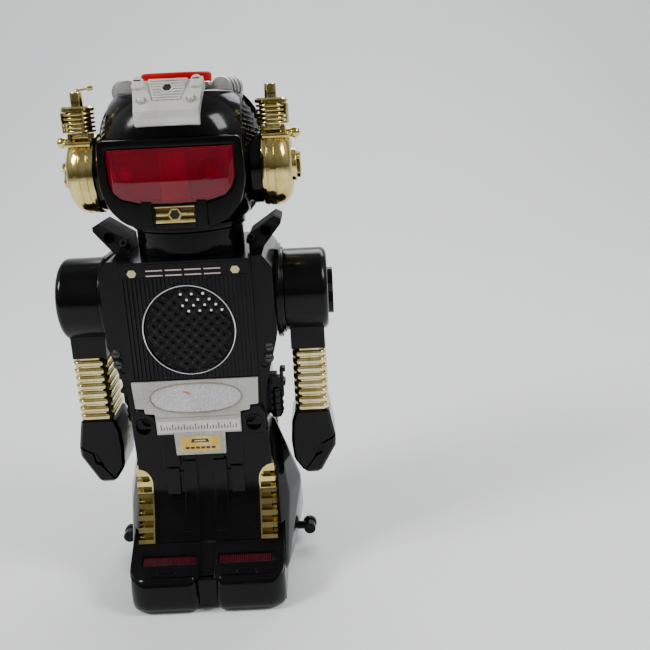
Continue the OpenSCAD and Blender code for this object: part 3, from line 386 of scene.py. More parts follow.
def between(line, height, ease=0.0):
    """The value at a height, along a line of heights and values; ease softens the corners."""
    for (z0, v0), (z1, v1) in zip(line, line[1:]):
        if height <= z1:
            t = (height - z0) / (z1 - z0)
            return v0 + (v1 - v0) * (ease * smooth_step(0, 1, t) + (1 - ease) * t)
    return line[-1][1]


# ---------- materials ----------

class Graph:
    """The few kinds of node that the materials and the sky are made of."""

    def __init__(self, owner, coordinates):
        owner.use_nodes = True
        self.nodes, self.link = owner.node_tree.nodes, owner.node_tree.links.new
        self.place = self.nodes.new("ShaderNodeTexCoord").outputs[coordinates]

    def add(self, kind, **values):
        node = self.nodes.new("ShaderNode" + kind)
        for name, value in values.items():
            node.inputs[name.replace("_", " ")].default_value = value
        return node

    def noise(self, scale, detail=3.0):
        node = self.add("TexNoise", Scale=scale, Detail=detail)
        self.link(self.place, node.inputs["Vector"])
        return node.outputs["Fac"]

    def ramp(self, value, lo, hi, out_lo=0.0, out_hi=1.0):
        node = self.add("MapRange", From_Min=lo, From_Max=hi, To_Min=out_lo, To_Max=out_hi)
        self.link(value, node.inputs["Value"])
        return node.outputs["Result"]

    def product(self, a, b):
        node = self.nodes.new("ShaderNodeMath")
        node.operation = "MULTIPLY"
        self.link(a, node.inputs[0])
        self.link(b, node.inputs[1])
        return node.outputs["Value"]

    def mix(self, factor, a, b):
        node = self.nodes.new("ShaderNodeMix")
        node.data_type = "RGBA"
        self.link(factor, node.inputs["Factor"])
        for name, value in (("A", a), ("B", b)):
            if isinstance(value, tuple):
                node.inputs[name].default_value = (*value, 1)
            else:
                self.link(value, node.inputs[name])
        return node.outputs["Result"]


def surface(name, colour, tone=None, tone_scale=60, metallic=0.0, rough=(0.35, 0.5), rough_scale=90, bump=0.05,
            bump_scale=900, bump_depth=0.0002, transmission=0.0, specks=None, speck_scale=1400, speck_level=0.7,
            specular=0.5):
    """A moulded, painted or plated surface: two tones, uneven gloss, fine relief and specks."""
    mat = bpy.data.materials.new(name)
    graph = Graph(mat, "Object")
    shader = graph.nodes["Principled BSDF"]
    for socket, value in (("Metallic", metallic), ("IOR", 1.49), ("Specular IOR Level", specular),
                          ("Transmission Weight", transmission)):
        shader.inputs[socket].default_value = value
    base = graph.mix(graph.ramp(graph.noise(tone_scale), 0.45, 0.6), colour, tone or tuple(c * 0.85 for c in colour))
    if specks:
        base = graph.mix(graph.ramp(graph.noise(speck_scale, 2.0), speck_level, speck_level + 0.03), base, specks)
    graph.link(base, shader.inputs["Base Color"])
    graph.link(graph.ramp(graph.noise(rough_scale, 4.0), 0.35, 0.65, *rough), shader.inputs["Roughness"])
    if bump:
        relief = graph.add("Bump", Strength=bump, Distance=bump_depth)
        graph.link(graph.noise(bump_scale, 2.0), relief.inputs["Height"])
        graph.link(relief.outputs["Normal"], shader.inputs["Normal"])
    return mat


def plated(scale, **how):
    return dict(tone_scale=scale, metallic=1.0, rough_scale=160, bump=0.25, bump_scale=330, bump_depth=0.0003,
                speck_scale=900, **how)


FINISHES = {
    "black_gloss": dict(colour=(0.002, 0.002, 0.0024), tone=(0.0032, 0.0032, 0.0036), rough=(0.1, 0.2),
                        rough_scale=70, bump=0.1, bump_scale=120, specular=0.19),
    "black_worn": dict(colour=(0.007, 0.007, 0.0075), tone=(0.016, 0.016, 0.016), tone_scale=300,
                       rough=(0.5, 0.65), bump=0.4, bump_scale=300, specular=0.1),
    "black_screw": dict(colour=(0.02, 0.02, 0.021), rough=(0.12, 0.2), bump=0.0, specular=0.6),
    "grille_black": dict(colour=(0.004, 0.004, 0.0045), bump=0.0, specular=0.18),
    "gold_plating": plated(120, colour=(0.68, 0.56, 0.22), tone=(0.56, 0.44, 0.15), rough=(0.07, 0.17),
                           specks=(0.07, 0.05, 0.03), speck_level=0.735),
    "pale_gold": plated(90, colour=(0.78, 0.7, 0.4), tone=(0.64, 0.54, 0.25), rough=(0.08, 0.18),
                        specks=(0.09, 0.07, 0.04), speck_level=0.73),
    "silver_paint": dict(colour=(0.7, 0.69, 0.63), tone=(0.57, 0.56, 0.5), metallic=0.45, rough=(0.3, 0.45),
                         bump=0.35, bump_scale=1300, specks=(0.72, 0.72, 0.7), speck_scale=1900, speck_level=0.62),
    "dull_silver": dict(colour=(0.38, 0.38, 0.36), tone=(0.3, 0.29, 0.27), metallic=0.5, rough=(0.3, 0.45),
                        bump=0.3, bump_scale=1500),
    "grey_paint": dict(colour=(0.4, 0.395, 0.35), tone=(0.34, 0.335, 0.295), metallic=0.35, rough=(0.34, 0.5),
                       bump=0.3, bump_scale=1800, specks=(0.72, 0.72, 0.69), speck_scale=2600, speck_level=0.6),
    "dial_paint": dict(colour=(0.47, 0.47, 0.46), tone=(0.41, 0.41, 0.4), metallic=0.45, rough=(0.3, 0.42),
                       bump=0.3, bump_scale=1800, specks=(0.8, 0.8, 0.78), speck_scale=2600, speck_level=0.58),
    "label_gold": dict(colour=(0.62, 0.4, 0.07), tone=(0.7, 0.52, 0.2), tone_scale=80, metallic=0.6,
                       rough=(0.25, 0.4), bump=0.1),
    "bright_silver": dict(colour=(0.78, 0.78, 0.77), metallic=1.0, rough=(0.15, 0.28), bump=0.0),
    "red_clear": dict(colour=(0.56, 0.0, 0.036), tone=(0.49, 0.0, 0.028), rough=(0.0, 0.015), transmission=0.84,
                      bump=0.01, bump_scale=200, specular=0.12),
    "red_plastic": dict(colour=(0.4, 0.0, 0.003), tone=(0.35, 0.0, 0.002), rough=(0.45, 0.55), bump=0.0,
                        specular=0.05),
    "red_bright": dict(colour=(0.85, 0.02, 0.04), tone=(0.7, 0.01, 0.03), rough=(0.3, 0.4), bump=0.0),
    "red_dark": dict(colour=(0.16, 0.004, 0.01), tone=(0.12, 0.003, 0.008), bump=0.0),
    "eye_red": dict(colour=(0.42, 0.006, 0.015), rough=(0.3, 0.4), bump=0.0),
    # the foot lenses' own deep red, darkened further as painted shade of their recess
    "lamp_red": dict(colour=(0.045, 0.0, 0.004), tone=(0.028, 0.0, 0.003), tone_scale=300, rough=(0.2, 0.35),
                     bump=0.0, specular=0.18),
}
# plainer ones: colour, metal and range of roughness
FINISHES.update({name: dict(colour=colour, metallic=metal, rough=rough) for name, colour, metal, rough in (
    # flat black for holes, slots and recesses: painted shade where only shade falls
    ("hole_painted_shade", (0.002, 0.002, 0.002), 0.0, (0.6, 0.8)),
    ("dark_ink", (0.02, 0.02, 0.022), 0.0, (0.4, 0.55)),
    ("eye_black", (0.012, 0.001, 0.002), 0.0, (0.35, 0.5)),
    ("bulb_red", (0.9, 0.25, 0.2), 0.0, (0.1, 0.2)),
    # the mouth's backing gold, darkened as painted shade between the bars
    ("gold_painted_shade", (0.16, 0.1, 0.04), 0.7, (0.35, 0.5)),
    # gold darkened as painted shade on the floors of the trims' grooves
    ("gold_groove_painted_shade", (0.16, 0.1, 0.02), 0.7, (0.4, 0.5)),
    ("aged_brown", (0.3, 0.2, 0.1), 0.5, (0.35, 0.5)),
    ("badge_gold", (0.62, 0.53, 0.26), 0.4, (0.3, 0.4)),
    ("rose_silver", (0.62, 0.5, 0.46), 0.6, (0.25, 0.4)),
    ("through_light", (0.9, 0.9, 0.88), 0.0, (0.5, 0.6)),
    ("rim_brown", (0.32, 0.28, 0.2), 0.5, (0.35, 0.5)),
    ("strip_cream", (0.66, 0.64, 0.57), 0.2, (0.4, 0.5)),
    ("needle_red", (0.75, 0.12, 0.16), 0.0, (0.4, 0.5)),
    ("label_champagne", (0.6, 0.54, 0.4), 0.6, (0.28, 0.4)),
    # floor of the foot lenses: dark red, partly their own colour and partly painted shade of the recess
    ("lamp_deep", (0.05, 0.001, 0.004), 0.0, (0.35, 0.5)),
    ("bulb_glass", (0.95, 0.86, 0.7), 0.0, (0.08, 0.12)),
    ("dark_metal", (0.16, 0.16, 0.17), 0.8, (0.35, 0.5)),
    ("board_green", (0.03, 0.14, 0.06), 0.0, (0.35, 0.5)),
    ("cell_jacket", (0.06, 0.1, 0.22), 0.3, (0.35, 0.5)),
    ("orange_plastic", (0.8, 0.2, 0.02), 0.0, (0.4, 0.5)),
    ("steel_bright", (0.55, 0.55, 0.56), 1.0, (0.22, 0.35)),
    ("white_plastic", (0.72, 0.7, 0.64), 0.0, (0.35, 0.5)),
    ("brass_shaft", (0.7, 0.5, 0.2), 1.0, (0.25, 0.35)),
    ("black_rubber", (0.02, 0.02, 0.02), 0.0, (0.7, 0.85)))})
MATERIALS = {}


def material(name):
    """The named material, made when it is first asked for."""
    if name not in MATERIALS:
        MATERIALS[name] = surface(name, **FINISHES[name])
    return MATERIALS[name]


def slot_material(node):
    """The material of a CAD node's slot; most slots and materials share a name."""
    slot = SLOTS[node]
    return {"black_plastic": "black_gloss", "board": "board_green", "steel": "steel_bright", "brass": "brass_shaft",
            "rubber": "black_rubber"}.get(slot, slot)


def dress_cad_nodes():
    """Every CAD node that stays visible gets its procedural material."""
    for node, obj in frame["nodes"].items():
        obj.data.materials.clear()
        obj.data.materials.append(material(slot_material(node)))


# ---------- head ----------

def head_radius(z):
    """One superellipse above the middle of the head, another below."""
    up = z > HEAD_MID_Z
    power = HEAD_TOP_POWER if up else HEAD_BOTTOM_POWER
    end_r, end_z = (HEAD_TOP_R, HEAD_TOP_Z) if up else (HEAD_BOTTOM_R, HEAD_BOTTOM_Z)
    reach = (end_z - HEAD_MID_Z) / (1 - (end_r / HEAD_R) ** power) ** (1 / power)
    return HEAD_R * (1 - abs((z - HEAD_MID_Z) / reach) ** power) ** (1 / power)


def head_profile(rows):
    """Radius and height from the base opening, up the side and over to the crown opening."""
    z0, z1 = HEAD_BOTTOM_Z + 0.7, HEAD_TOP_Z - 2.2
    out = [(28.6, HEAD_BOTTOM_Z), (30.2, HEAD_BOTTOM_Z + 0.05)]
    out += [(head_radius(z0 + (z1 - z0) * i / (rows - 1)), z0 + (z1 - z0) * i / (rows - 1)) for i in range(rows)]
    r1 = head_radius(z1)
    for k in range(1, 6):
        a = radians(18 * k)
        out.append((r1 - 4.5 * (1 - cos(a)), z1 + 2.2 * sin(a)))
    out += [(r, HEAD_TOP_Z) for r in (24.0, 18.0, 12.4)]
    return out


def head_half(side, rows, cols, relief):
    """Half of the head as a thin shell; side is 1 at the rear and -1 at the front."""
    profile = head_profile(rows)
    soft = 1.3

    def raw(i, j):
        r, z = profile[min(max(i, 0), len(profile) - 1)]
        a = pi * (min(max(j, 0), cols - 1) / (cols - 1) - 0.5)
        y = max(r * cos(a), 0.15)
        y = -soft * log(exp(-y / soft) + exp(-HEAD_HALF_DEPTH / soft))
        return Vector((r * sin(a), side * y, z))

    grid = [[raw(i, j) for j in range(cols)] for i in range(len(profile))]

    def point(i, j, depth):
        p = grid[i][j]
        across = grid[i][min(j + 1, cols - 1)] - grid[i][max(j - 1, 0)]
        upward = grid[min(i + 1, len(grid) - 1)][j] - grid[max(i - 1, 0)][j]
        n = across.cross(upward).normalized()
        if n.dot(Vector((p.x, p.y, (p.z - HEAD_MID_Z) * 0.4))) < 0:
            n.negate()
        edge = min(j, cols - 1 - j) == 0
        lift = -depth if depth else (0.0 if edge else relief(p.x, p.z))
        q = p + n * lift
        if edge:
            q.y = p.y
        return q

    return Build().sheet(point, len(profile), cols, HEAD_WALL)


def hill(distance, width):
    return exp(-(distance / width) ** 2)


SEAM_LINE = [(213, 23.0), (220, 20.5), (228, 18.6), (238, 18.0), (252, 18.0), (260, 18.6), (265, 20.6),
             (269, 24.0), (272, 28.5), (274.5, 33.8)]
STRIP_X = 34.6           # the side strips of the head begin here


def rear_relief(x, z):
    out = abs(x)
    inside = 1 - smooth_step(275.5, 277.5, z)
    lift = -0.8 * smooth_step(STRIP_X, STRIP_X + 0.8, out) * inside
    lift += 0.55 * hill(out - STRIP_X, 0.7) * inside
    lift += 0.8 * hill(out - between(SEAM_LINE, z, 0.5), 0.6) * inside
    for flute_x, low, high in ((-9, 230.5, 259.5), (0, 226.5, 261.5), (9, 230.5, 259.5)):
        d = hypot(x - flute_x, z - min(max(z, low), high))
        lift += 0.5 * hill(d - 2.9, 0.7) - 1.8 * (1 - smooth_step(0.8, 2.5, d))
    for i in range(7):
        low = 226 + 5 * i
        window = smooth_step(low, low + 0.6, z) - smooth_step(low + 2.4, low + 3.0, z)
        lift -= 1.4 * window * smooth_step(36.2, 36.8, out) * (1 - smooth_step(44.6, 45.2, out))
    return lift


def front_relief(x, z):
    out = abs(x)
    inside = 1 - smooth_step(276.5, 279, z)
    lift = -1.9 * smooth_step(STRIP_X, STRIP_X + 1.6, out) * inside
    if out > STRIP_X + 1.6:
        lift += 0.42 * sin(2 * pi * (z + 0.55 * (out - STRIP_X)) / 2.3) * inside
    return lift


def visor_opening():
    """Outer outline of the visor frame and outline of its window, with equal point counts."""
    outer = mirrored([(0, 214.1), (17.5, 214.1), (26.8, 218.2), (33.2, 225.4), (36.4, 235.5), (36.6, 245),
                      (35.6, 259.2), (0, 259.2)])
    inner = mirrored([(0, 226.6), (16, 227.2), (26.2, 230.2), (30.4, 235), (31.8, 240), (31.8, 247),
                      (31.8, 254.8), (0, 254.8)])
    return fillet(outer, 3.2), fillet(inner, 2.4)


def head_shells():
    front = head_half(-1, 84, 260, front_relief)
    front.cut(Build().prism(grown(visor_opening()[0], 0.12), "y", -60, -22))
    rear = head_half(1, 120, 380, rear_relief)
    for s in SIDES:
        for half in (front, rear):
            half.cut(Build().rod("x", s * 37.9, s * 60, EAR_Y, EAR_Z, 19.6, sides=72))
    give(front.piece("head_front", weighted=False), "head_front_shell")
    give(rear.piece("head_rear", weighted=False), "head_rear_shell")
    # moulded maker's lines are replaced by a row of plain pips
    pips = Build()
    for i in range(11):
        pips.box((i * 2.4 - 13, HEAD_HALF_DEPTH - 3.5, 221.6), (i * 2.4 - 11.6, HEAD_HALF_DEPTH - 1.2, 222.6))
    give(pips.piece("head_rear_pips"), "head_rear_shell", replaces=False)


def visor_frame():
    """Thin rounded border, walls down to the lens, a recess for the mouth and clips beside it."""
    outer, inner = visor_opening()
    steps = ((inner, 0, -30), (inner, 0, -43.3), (inner, 0.35, -43.85), (inner, 0.9, -44.0),
             (outer, -1.0, -44.0), (outer, -0.35, -43.75), (outer, 0, -43.1), (outer, 0, -24))
    border = Build().loft([[(x, y, z) for x, z in grown(line, g)] for line, g, y in steps], closed=True)
    border.cut(Build().box((-10.3, -50, 216.9), (10.3, -41.2, 226.5)))
    for k in SIDES:
        border.box((k * 11.2, -45.9, 215.2), (k * 16.4, -42.5, 228.6), bevel=0.6)
        border.box((k * 10.7, -45.2, 214.1), (k * 16.9, -41, 217.0), bevel=0.6)
        border.box((k * 10.2, -45.0, 216.4), (k * 11.6, -42.5, 227.0), bevel=0.3)
    give(border.piece("visor_border"), "visor_bezel")


def visor():
    """Eyes, bulbs, dark backing and centre strip behind the lens."""
    eyes, bulbs, strip = Build(), Build(), Build()
    for x in (-23.5, 19.0):
        eyes.ring("y", -38.8, -34.2, x, 242, 5.4, 6.6, index=2, bevel=0.3)
        eyes.rod("y", -36.2, -34.2, x, 242, 6.0, index=2)
        eyes.ring("y", -39.4, -34.2, x, 242, 1.6, 2.8, bevel=0.3)
        for k in range(16):
            eyes.box((2.6, -39.0, -0.3), (3.6, -34.4, 0.3), move=placed(x, 0, 242, 22.5 * k, "Y"))
        bulbs.lathe([(0, -34.2), (1.7, -34.2), (1.7, -38.6), (1.3, -39.6), (0, -40.2)], "y", x, 242, sides=24)
    eyes.prism(mirrored([(0, 229), (16, 229.4), (25, 232), (28.6, 236), (29.6, 241), (29.6, 252.6), (0, 252.6)]),
               "y", -35.6, -34.1, index=1)
    give(eyes.piece("eye_rings"), "eye_reflectors", ["eye_red", "red_dark", "eye_black"])
    give(bulbs.piece("eye_lamps"), "eye_bulbs", ["bulb_red"])
    strip.box((-6.6, -38.4, 228.4), (6.6, -35.7, 253), bevel=0.3)
    for x0, x1 in ((-6.6, -4.4), (-1.6, 0.6), (4.2, 6.6)):
        strip.box((x0, -40.6, 239), (x1, -38.2, 252.8), bevel=0.4)
    strip.box((-6.6, -41.0, 228.6), (6.6, -38.2, 238.2), bevel=0.5)
    give(strip.piece("visor_centre"), "visor_centre_strip", ["red_bright"])


def mouth():
    """Two bars and a middle bar with a hexagonal hole."""
    vent = Build()
    # backing plate, its gold painted dark as the shade between the bars
    vent.box((-10, -42.6, 217.5), (10, -40.6, 226.1), index=1)
    vent.box((-10, -44.9, 225.3), (10, -42.5, 226.1), bevel=0.2)
    vent.box((-9.6, -44.6, 221.0), (9.6, -42.5, 222.8), bevel=0.3)
    vent.box((-10, -44.9, 217.5), (10, -42.5, 219.5), bevel=0.3)
    hole = circle(0, 221.9, 2.5, 6)
    vent.border(circle(0, 221.9, 3.7, 6), hole, -45.2, -42.5, bevel=0.15)
    # a black disc of painted shade in the hexagonal hole
    vent.prism(hole, "y", -44.65, -44.55, index=2)
    give(vent.piece("mouth"), "mouth_vent", ["gold_plating", "gold_painted_shade", "hole_painted_shade"])


def brow():
    """The painted block over the brow: lip, flanks, ribbed middle, bolts and bosses."""
    top, length = 17.8, 24.4
    block = Build(placed(0, -43.3, 268.5, 46.5))
    block.prism([(-15.9, 3.6), (15.9, 3.6), (top, length), (-top, length)], "z", -5.0, 0.3, bevel=0.3)
    side = [(top, length), (12.2, length), (11.0, 20.0), (9.2, 15.6), (8.0, 12.4), (7.4, 9.6)]
    block.prism([(-15.9, 3.6), (15.9, 3.6)] + side + [(-u, v) for u, v in reversed(side)], "z", -2.0, 2.0, bevel=0.35)
    # lip, cut back below
    block.prism([(4.6, 2.1), (3.4, 2.1), (0.2, -0.4), (-1.2, -3.9), (-0.2, -6.2), (4.6, -4.6)], "x", -16.0, 16.0,
                bevel=0.3)
    # ribbed panel, wider at its top
    block.prism([(-6.6, 10.2), (6.6, 10.2), (9.8, length + 0.3), (-9.8, length + 0.3)], "z", -2.0, 1.0, bevel=0.2)
    for i in range(8):
        s = 10.4 + 1.78 * i
        w = 6.3 + 3.2 * (s - 10.2) / 14.2
        for x0, x1 in ((-w, w),) if i < 3 or i > 5 else ((-w, -2.9), (2.9, w)):
            block.box((x0, s, 0.6), (x1, s + 1.05, 1.75), bevel=0.2)
    hole = circle(0, 18.2, 2.5, 6)
    block.border(circle(0, 18.2, 3.4, 6), hole, 0.6, 1.8, axis="z")
    # a black disc of painted shade in the hexagonal hole
    block.prism(hole, "z", 0.6, 1.1, index=2)
    for k in SIDES:
        # bolt with its lug in the upper corner, boss below it
        block.box((k * 14.6 - 2.7, 17.0, 1.2), (k * 14.6 + 2.7, 19.6, 3.8), bevel=0.4)
        block.rod("z", 1.2, 3.6, k * 14.6, 21.6, 2.6, bevel=0.4)
        # the bolt's slot, a dark bar of painted shade
        block.box((k * 14.6 - 1.7, 21.3, 3.4), (k * 14.6 + 1.7, 21.9, 3.8), index=2)
        block.rod("z", 1.2, 2.4, k * 12.2, 10.0, 2.6, index=1, bevel=0.2)
        block.rod("z", 1.2, 4.4, k * 12.2, 10.0, 1.5, bevel=0.3)
    give(block.piece("brow_block"), "forehead_block", ["silver_paint", "dull_silver", "hole_painted_shade"])


def crown():
    """Finned rolls on axes that point back and outward, and the lamp between them."""
    rolls = Build()
    for k in SIDES:
        rolls.move = placed(k * 27.2, -3.5, 281, -26 * k, "Z")
        for i in range(4):
            y = -7 + 3.3 * i
            rolls.rod("y", y, y + 2.0, 0, 0, 6.3, bevel=0.5)
        rolls.rod("y", -6.4, 5.6, 0, 0, 5.0, sides=40)
        # the rear face is left unpainted
        rolls.rod("y", 5.0, 5.8, 0, 0, 5.9, sides=40, index=1, bevel=0.2)
    give(rolls.piece("crown_fins"), "crown_rolls", ["dull_silver", "aged_brown"])
    lamp = Build().lathe([(0, 284.6), (17.4, 284.6), (18.5, 285.4), (18.5, 288.6), (18.0, 289.5), (17.0, 290),
                          (16.0, 289.8), (15.4, 289.2), (0, 289.2)], "z", 0, 0, sides=128)
    give(lamp.piece("crown_light"), "crown_lamp", ["red_plastic"])


def ear_cups():
    """Turned cups with two seams, a domed face, a cross-shaped knob, the saddle and its round peg."""
    outline = [(0, 43.0), (20.0, 43.0), (20.8, 43.8), (21.0, 46.0), (20.6, 46.2), (20.6, 46.7), (21.0, 46.9),
               (21.2, 50.0), (20.8, 50.2), (20.8, 50.7), (21.1, 50.9), (20.9, 52.8), (20.2, 54.8), (18.9, 56.6),
               (17.1, 58.0), (15.0, 58.9), (13.0, 59.1), (12.3, 58.6), (10.0, 58.5), (9.2, 58.9), (9.0, 60.9),
               (8.4, 61.5), (0, 61.7)]
    for side, word in HANDS:
        cup = Build().lathe([(r, side * x) for r, x in outline], "x", EAR_Y, EAR_Z, sides=128)
        for turn in (45, 135):
            cup.box((side * 61.0, -7.4, -2.1), (side * 63.6, 7.4, 2.1), bevel=0.5, move=placed(0, EAR_Y, EAR_Z, turn))
        cup.box((side * 43.6, -22.0, 255.0), (side * 58.6, -8.6, 258.2), bevel=1.3, segments=4)
        near, far = sorted((side * 43.6, side * 58.6))
        cup.box((near + 2, -19.5, 249), (far - 2, -10.0, 256), bevel=1.0, segments=3)
        for x0, x1 in ((43.6, 45.7), (54.3, 56.4)):
            cup.box((side * x0, -18.8, 256), (side * x1, -13.2, 262), bevel=0.5)
        cup.rod("x", *sorted((side * 55, side * 60.4)), -12, 257.2, 2.2, sides=32, bevel=0.3)
        arc = [pi * i / 16 for i in range(17)]
        cup.lathe([(max(2.9 * sin(a), 0), side * (61.2 - 2.9 * cos(a))) for a in arc], "x", -12, 257.2, sides=32)
        give(cup.piece("ear_" + word, sharp=50), "ear_cup_" + word, ["gold_plating"])


def antennas():
    """A stack of fins between cap and tongue, a thin jacket on the outer and rear side and a tube on top."""
    pivot_z = 260.0
    for side, word in HANDS:
        x, y = side * 50.0, -16.0
        stack = Build().rod("z", 262.4, 274, x, y, 6.4, bevel=0.3)
        for i in range(5):
            z = 262.4 + 2.15 * i
            stack.rod("z", z, z + 1.2, x, y, 8.1, bevel=0.35)
        stack.cut(Build().prism([(y, 262.2), (y + 20, 272.8), (y + 20, 250), (y, 250)], "x", x - 12, x + 12))
        stack.lathe([(0, 272.9), (7.9, 272.9), (8.5, 273.4), (8.5, 274.6), (7.6, 275.5), (0, 275.6)], "z", x, y)
        stack.lathe([(1.7, 277), (3.1, 277), (3.1, 282.0), (2.8, 282.5), (2.0, 282.5), (1.7, 282.1)], "z", x, y,
                    sides=40)
        stack.rod("z", 275.2, 278, x, y, 3.1, sides=40)
        for first, last, z0, z1 in ((-30, 110, 267.0, 272.6), (-30, 20, 262.4, 267.2)):
            arc = [radians(a) for a in range(first, last + 1, 10)]
            wall = [(8.3, a) for a in arc] + [(9.0, a) for a in reversed(arc)]
            stack.prism([(x + side * r * cos(a), y + r * sin(a)) for r, a in wall], "z", z0, z1, bevel=0.15,
                        segments=1)
        stack.rod("x", x - 4, x + 4, y, pivot_z, 1.7, sides=32)
        stack.box((x - 4, y - 1.6, pivot_z), (x + 4, y + 1.6, 263.5), bevel=0.3)
        stack.rod("x", x - 6.8, x + 6.8, y, pivot_z, 1.2, sides=24)
        if word == "right":
            # bent pin left in the tube
            stack.move = placed(x + 1.4, y - 1.0, 283.2, -8, "Y")
            stack.rod("x", -0.4, 6.6, 0, 0, 0.55, sides=16, bevel=0.15)
            stack.rod("x", 5.2, 8.2, 0, 0, 1.15, sides=20, bevel=0.3)
            stack.rod("z", -3.0, 0.8, 0, 0, 0.6, sides=16, bevel=0.15)
            stack.rod("x", -0.8, 0.9, 0, 0, 1.0, sides=20, bevel=0.3)
        give(stack.piece("antenna_stack_" + word), "antenna_" + word, ["gold_plating"])


# ---------- torso ----------

def chest_marks():
    """Badges, plain bars in place of the chest digits, a fine moulded line and screw heads."""
    front = CHEST_Y - 2.0
    marks, bars, lines = Build(), Build(), Build()
    hexagon = ((-2.5, 0), (-1.3, 1.9), (1.3, 1.9), (2.5, 0), (1.3, -1.9), (-1.3, -1.9))
    for k in SIDES:
        marks.prism([(k * 27 + x, 190.7 + z) for x, z in hexagon], "y", front - 0.35, front + 0.2, bevel=0.1)
    give(marks.piece("chest_badges"), "torso_front_shell", ["badge_gold"], replaces=False)
    for i in range(4):
        x0 = -19.6 + 10.1 * i
        for z0 in (188.9, 191.6):
            bars.box((x0, front - 0.12, z0), (x0 + 8.7, front + 0.1, z0 + 0.62))
    give(bars.piece("chest_bars"), "torso_front_shell", ["rose_silver"], replaces=False)
    for z in (187.9, 195.0):
        lines.box((-34.0, front - 0.3, z), (34.0, front + 0.3, z + 0.5), bevel=0.12)
    for x in (-34.3, 33.8):
        lines.box((x, front - 0.3, 187.9), (x + 0.5, front + 0.3, 195.5), bevel=0.12)
    # two round screw heads on each shoulder flange; the dark ring round each head and its slot are painted shade
    for k in SIDES:
        for x, z in ((41.5, 145.8), (41.0, 139.4)):
            lines.rod("y", FLANGE_Y - 0.9, FLANGE_Y + 0.5, k * x, z, 2.35, bevel=0.7, segments=4, index=2)
            lines.rod("y", FLANGE_Y - 0.08, FLANGE_Y + 0.5, k * x, z, 2.9, index=1)
            lines.box((k * x - 1.9, FLANGE_Y - 0.9, z - 0.33), (k * x + 1.9, FLANGE_Y - 0.6, z + 0.33), index=1)
    give(lines.piece("chest_mouldings"), "torso_front_shell", ["black_gloss", "hole_painted_shade", "black_screw"],
         replaces=False)


def speaker_front():
    """Basket-woven grille with a disc of painted shade in the hole at every crossing, and the light seen through some
    of them.
    """
    radius, half_step, count = 23.8, 3.1, 9
    grille = Build().rod("y", CHEST_Y + 0.2, CHEST_Y + 1.6, 0, SPEAKER_Z, radius, sides=96)
    for m in range(-count, count + 1):
        for n in range(-count, count + 1):
            x, z = (m - n) * half_step, (m + n) * half_step
            for side in SIDES:
                cx, cz = x + side * 0.5 * half_step, z + 0.5 * half_step
                if hypot(cx, cz) < radius - 2.3:
                    grille.box((-1.75, CHEST_Y - 0.85, -1.35), (1.75, CHEST_Y + 0.4, 1.35), bevel=0.4,
                               move=placed(cx, 0, SPEAKER_Z + cz, -45 * side, "Y"))
            # a disc of painted shade in the hole at each crossing
            if hypot(x, z) < radius - 1.4:
                grille.rod("y", CHEST_Y - 0.9, CHEST_Y - 0.7, x, SPEAKER_Z + z, 0.78, sides=12, index=1)
    grille.ring("y", CHEST_Y - 0.3, CHEST_Y + 1.0, 0, SPEAKER_Z, radius - 1.1, radius - 0.1, bevel=0.2)
    # light that comes through from the pierced pocket in the back
    for z, columns in ((178.3, (-2.9, 2.9, 8.9)), (175.1, (0.1, 6.1, 12.0)), (172.1, (-2.3, 3.5, 9.4, 15.3)),
                       (169.0, (0.7, 6.6, 12.6, 18.3))):
        for x in columns:
            grille.rod("y", CHEST_Y - 0.95, CHEST_Y + 0.3, x, z, 0.68, sides=16, index=2, bevel=0.12)
    give(grille.piece("speaker_weave"), "speaker_grille", ["grille_black", "hole_painted_shade", "through_light"])
    ring = Build().ring("y", CHEST_Y - 1.6, CHEST_Y + 1.6, 0, SPEAKER_Z, radius + 0.5, 25.0, bevel=0.3)
    give(ring.piece("speaker_rim"), "speaker_ring", ["bright_silver"])


def dial_outline(g):
    """The lens-shaped window of the chest dial: arched above, bellied below, with short upright ends."""
    out = []
    for k in range(25):
        x = (24.6 + g) * (1 - 2 * k / 24)
        out.append((x, 121.0 + (6.3 + g) * (1 - abs(x / (24.6 + g)) ** 2.6) ** 0.62 + 0.6))
    for k in range(25):
        x = (24.6 + g) * (2 * k / 24 - 1)
        out.append((x, 119.0 - (7.4 + g) * (1 - abs(x / (24.6 + g)) ** 2.4) ** 0.55 - 0.2))
    return out


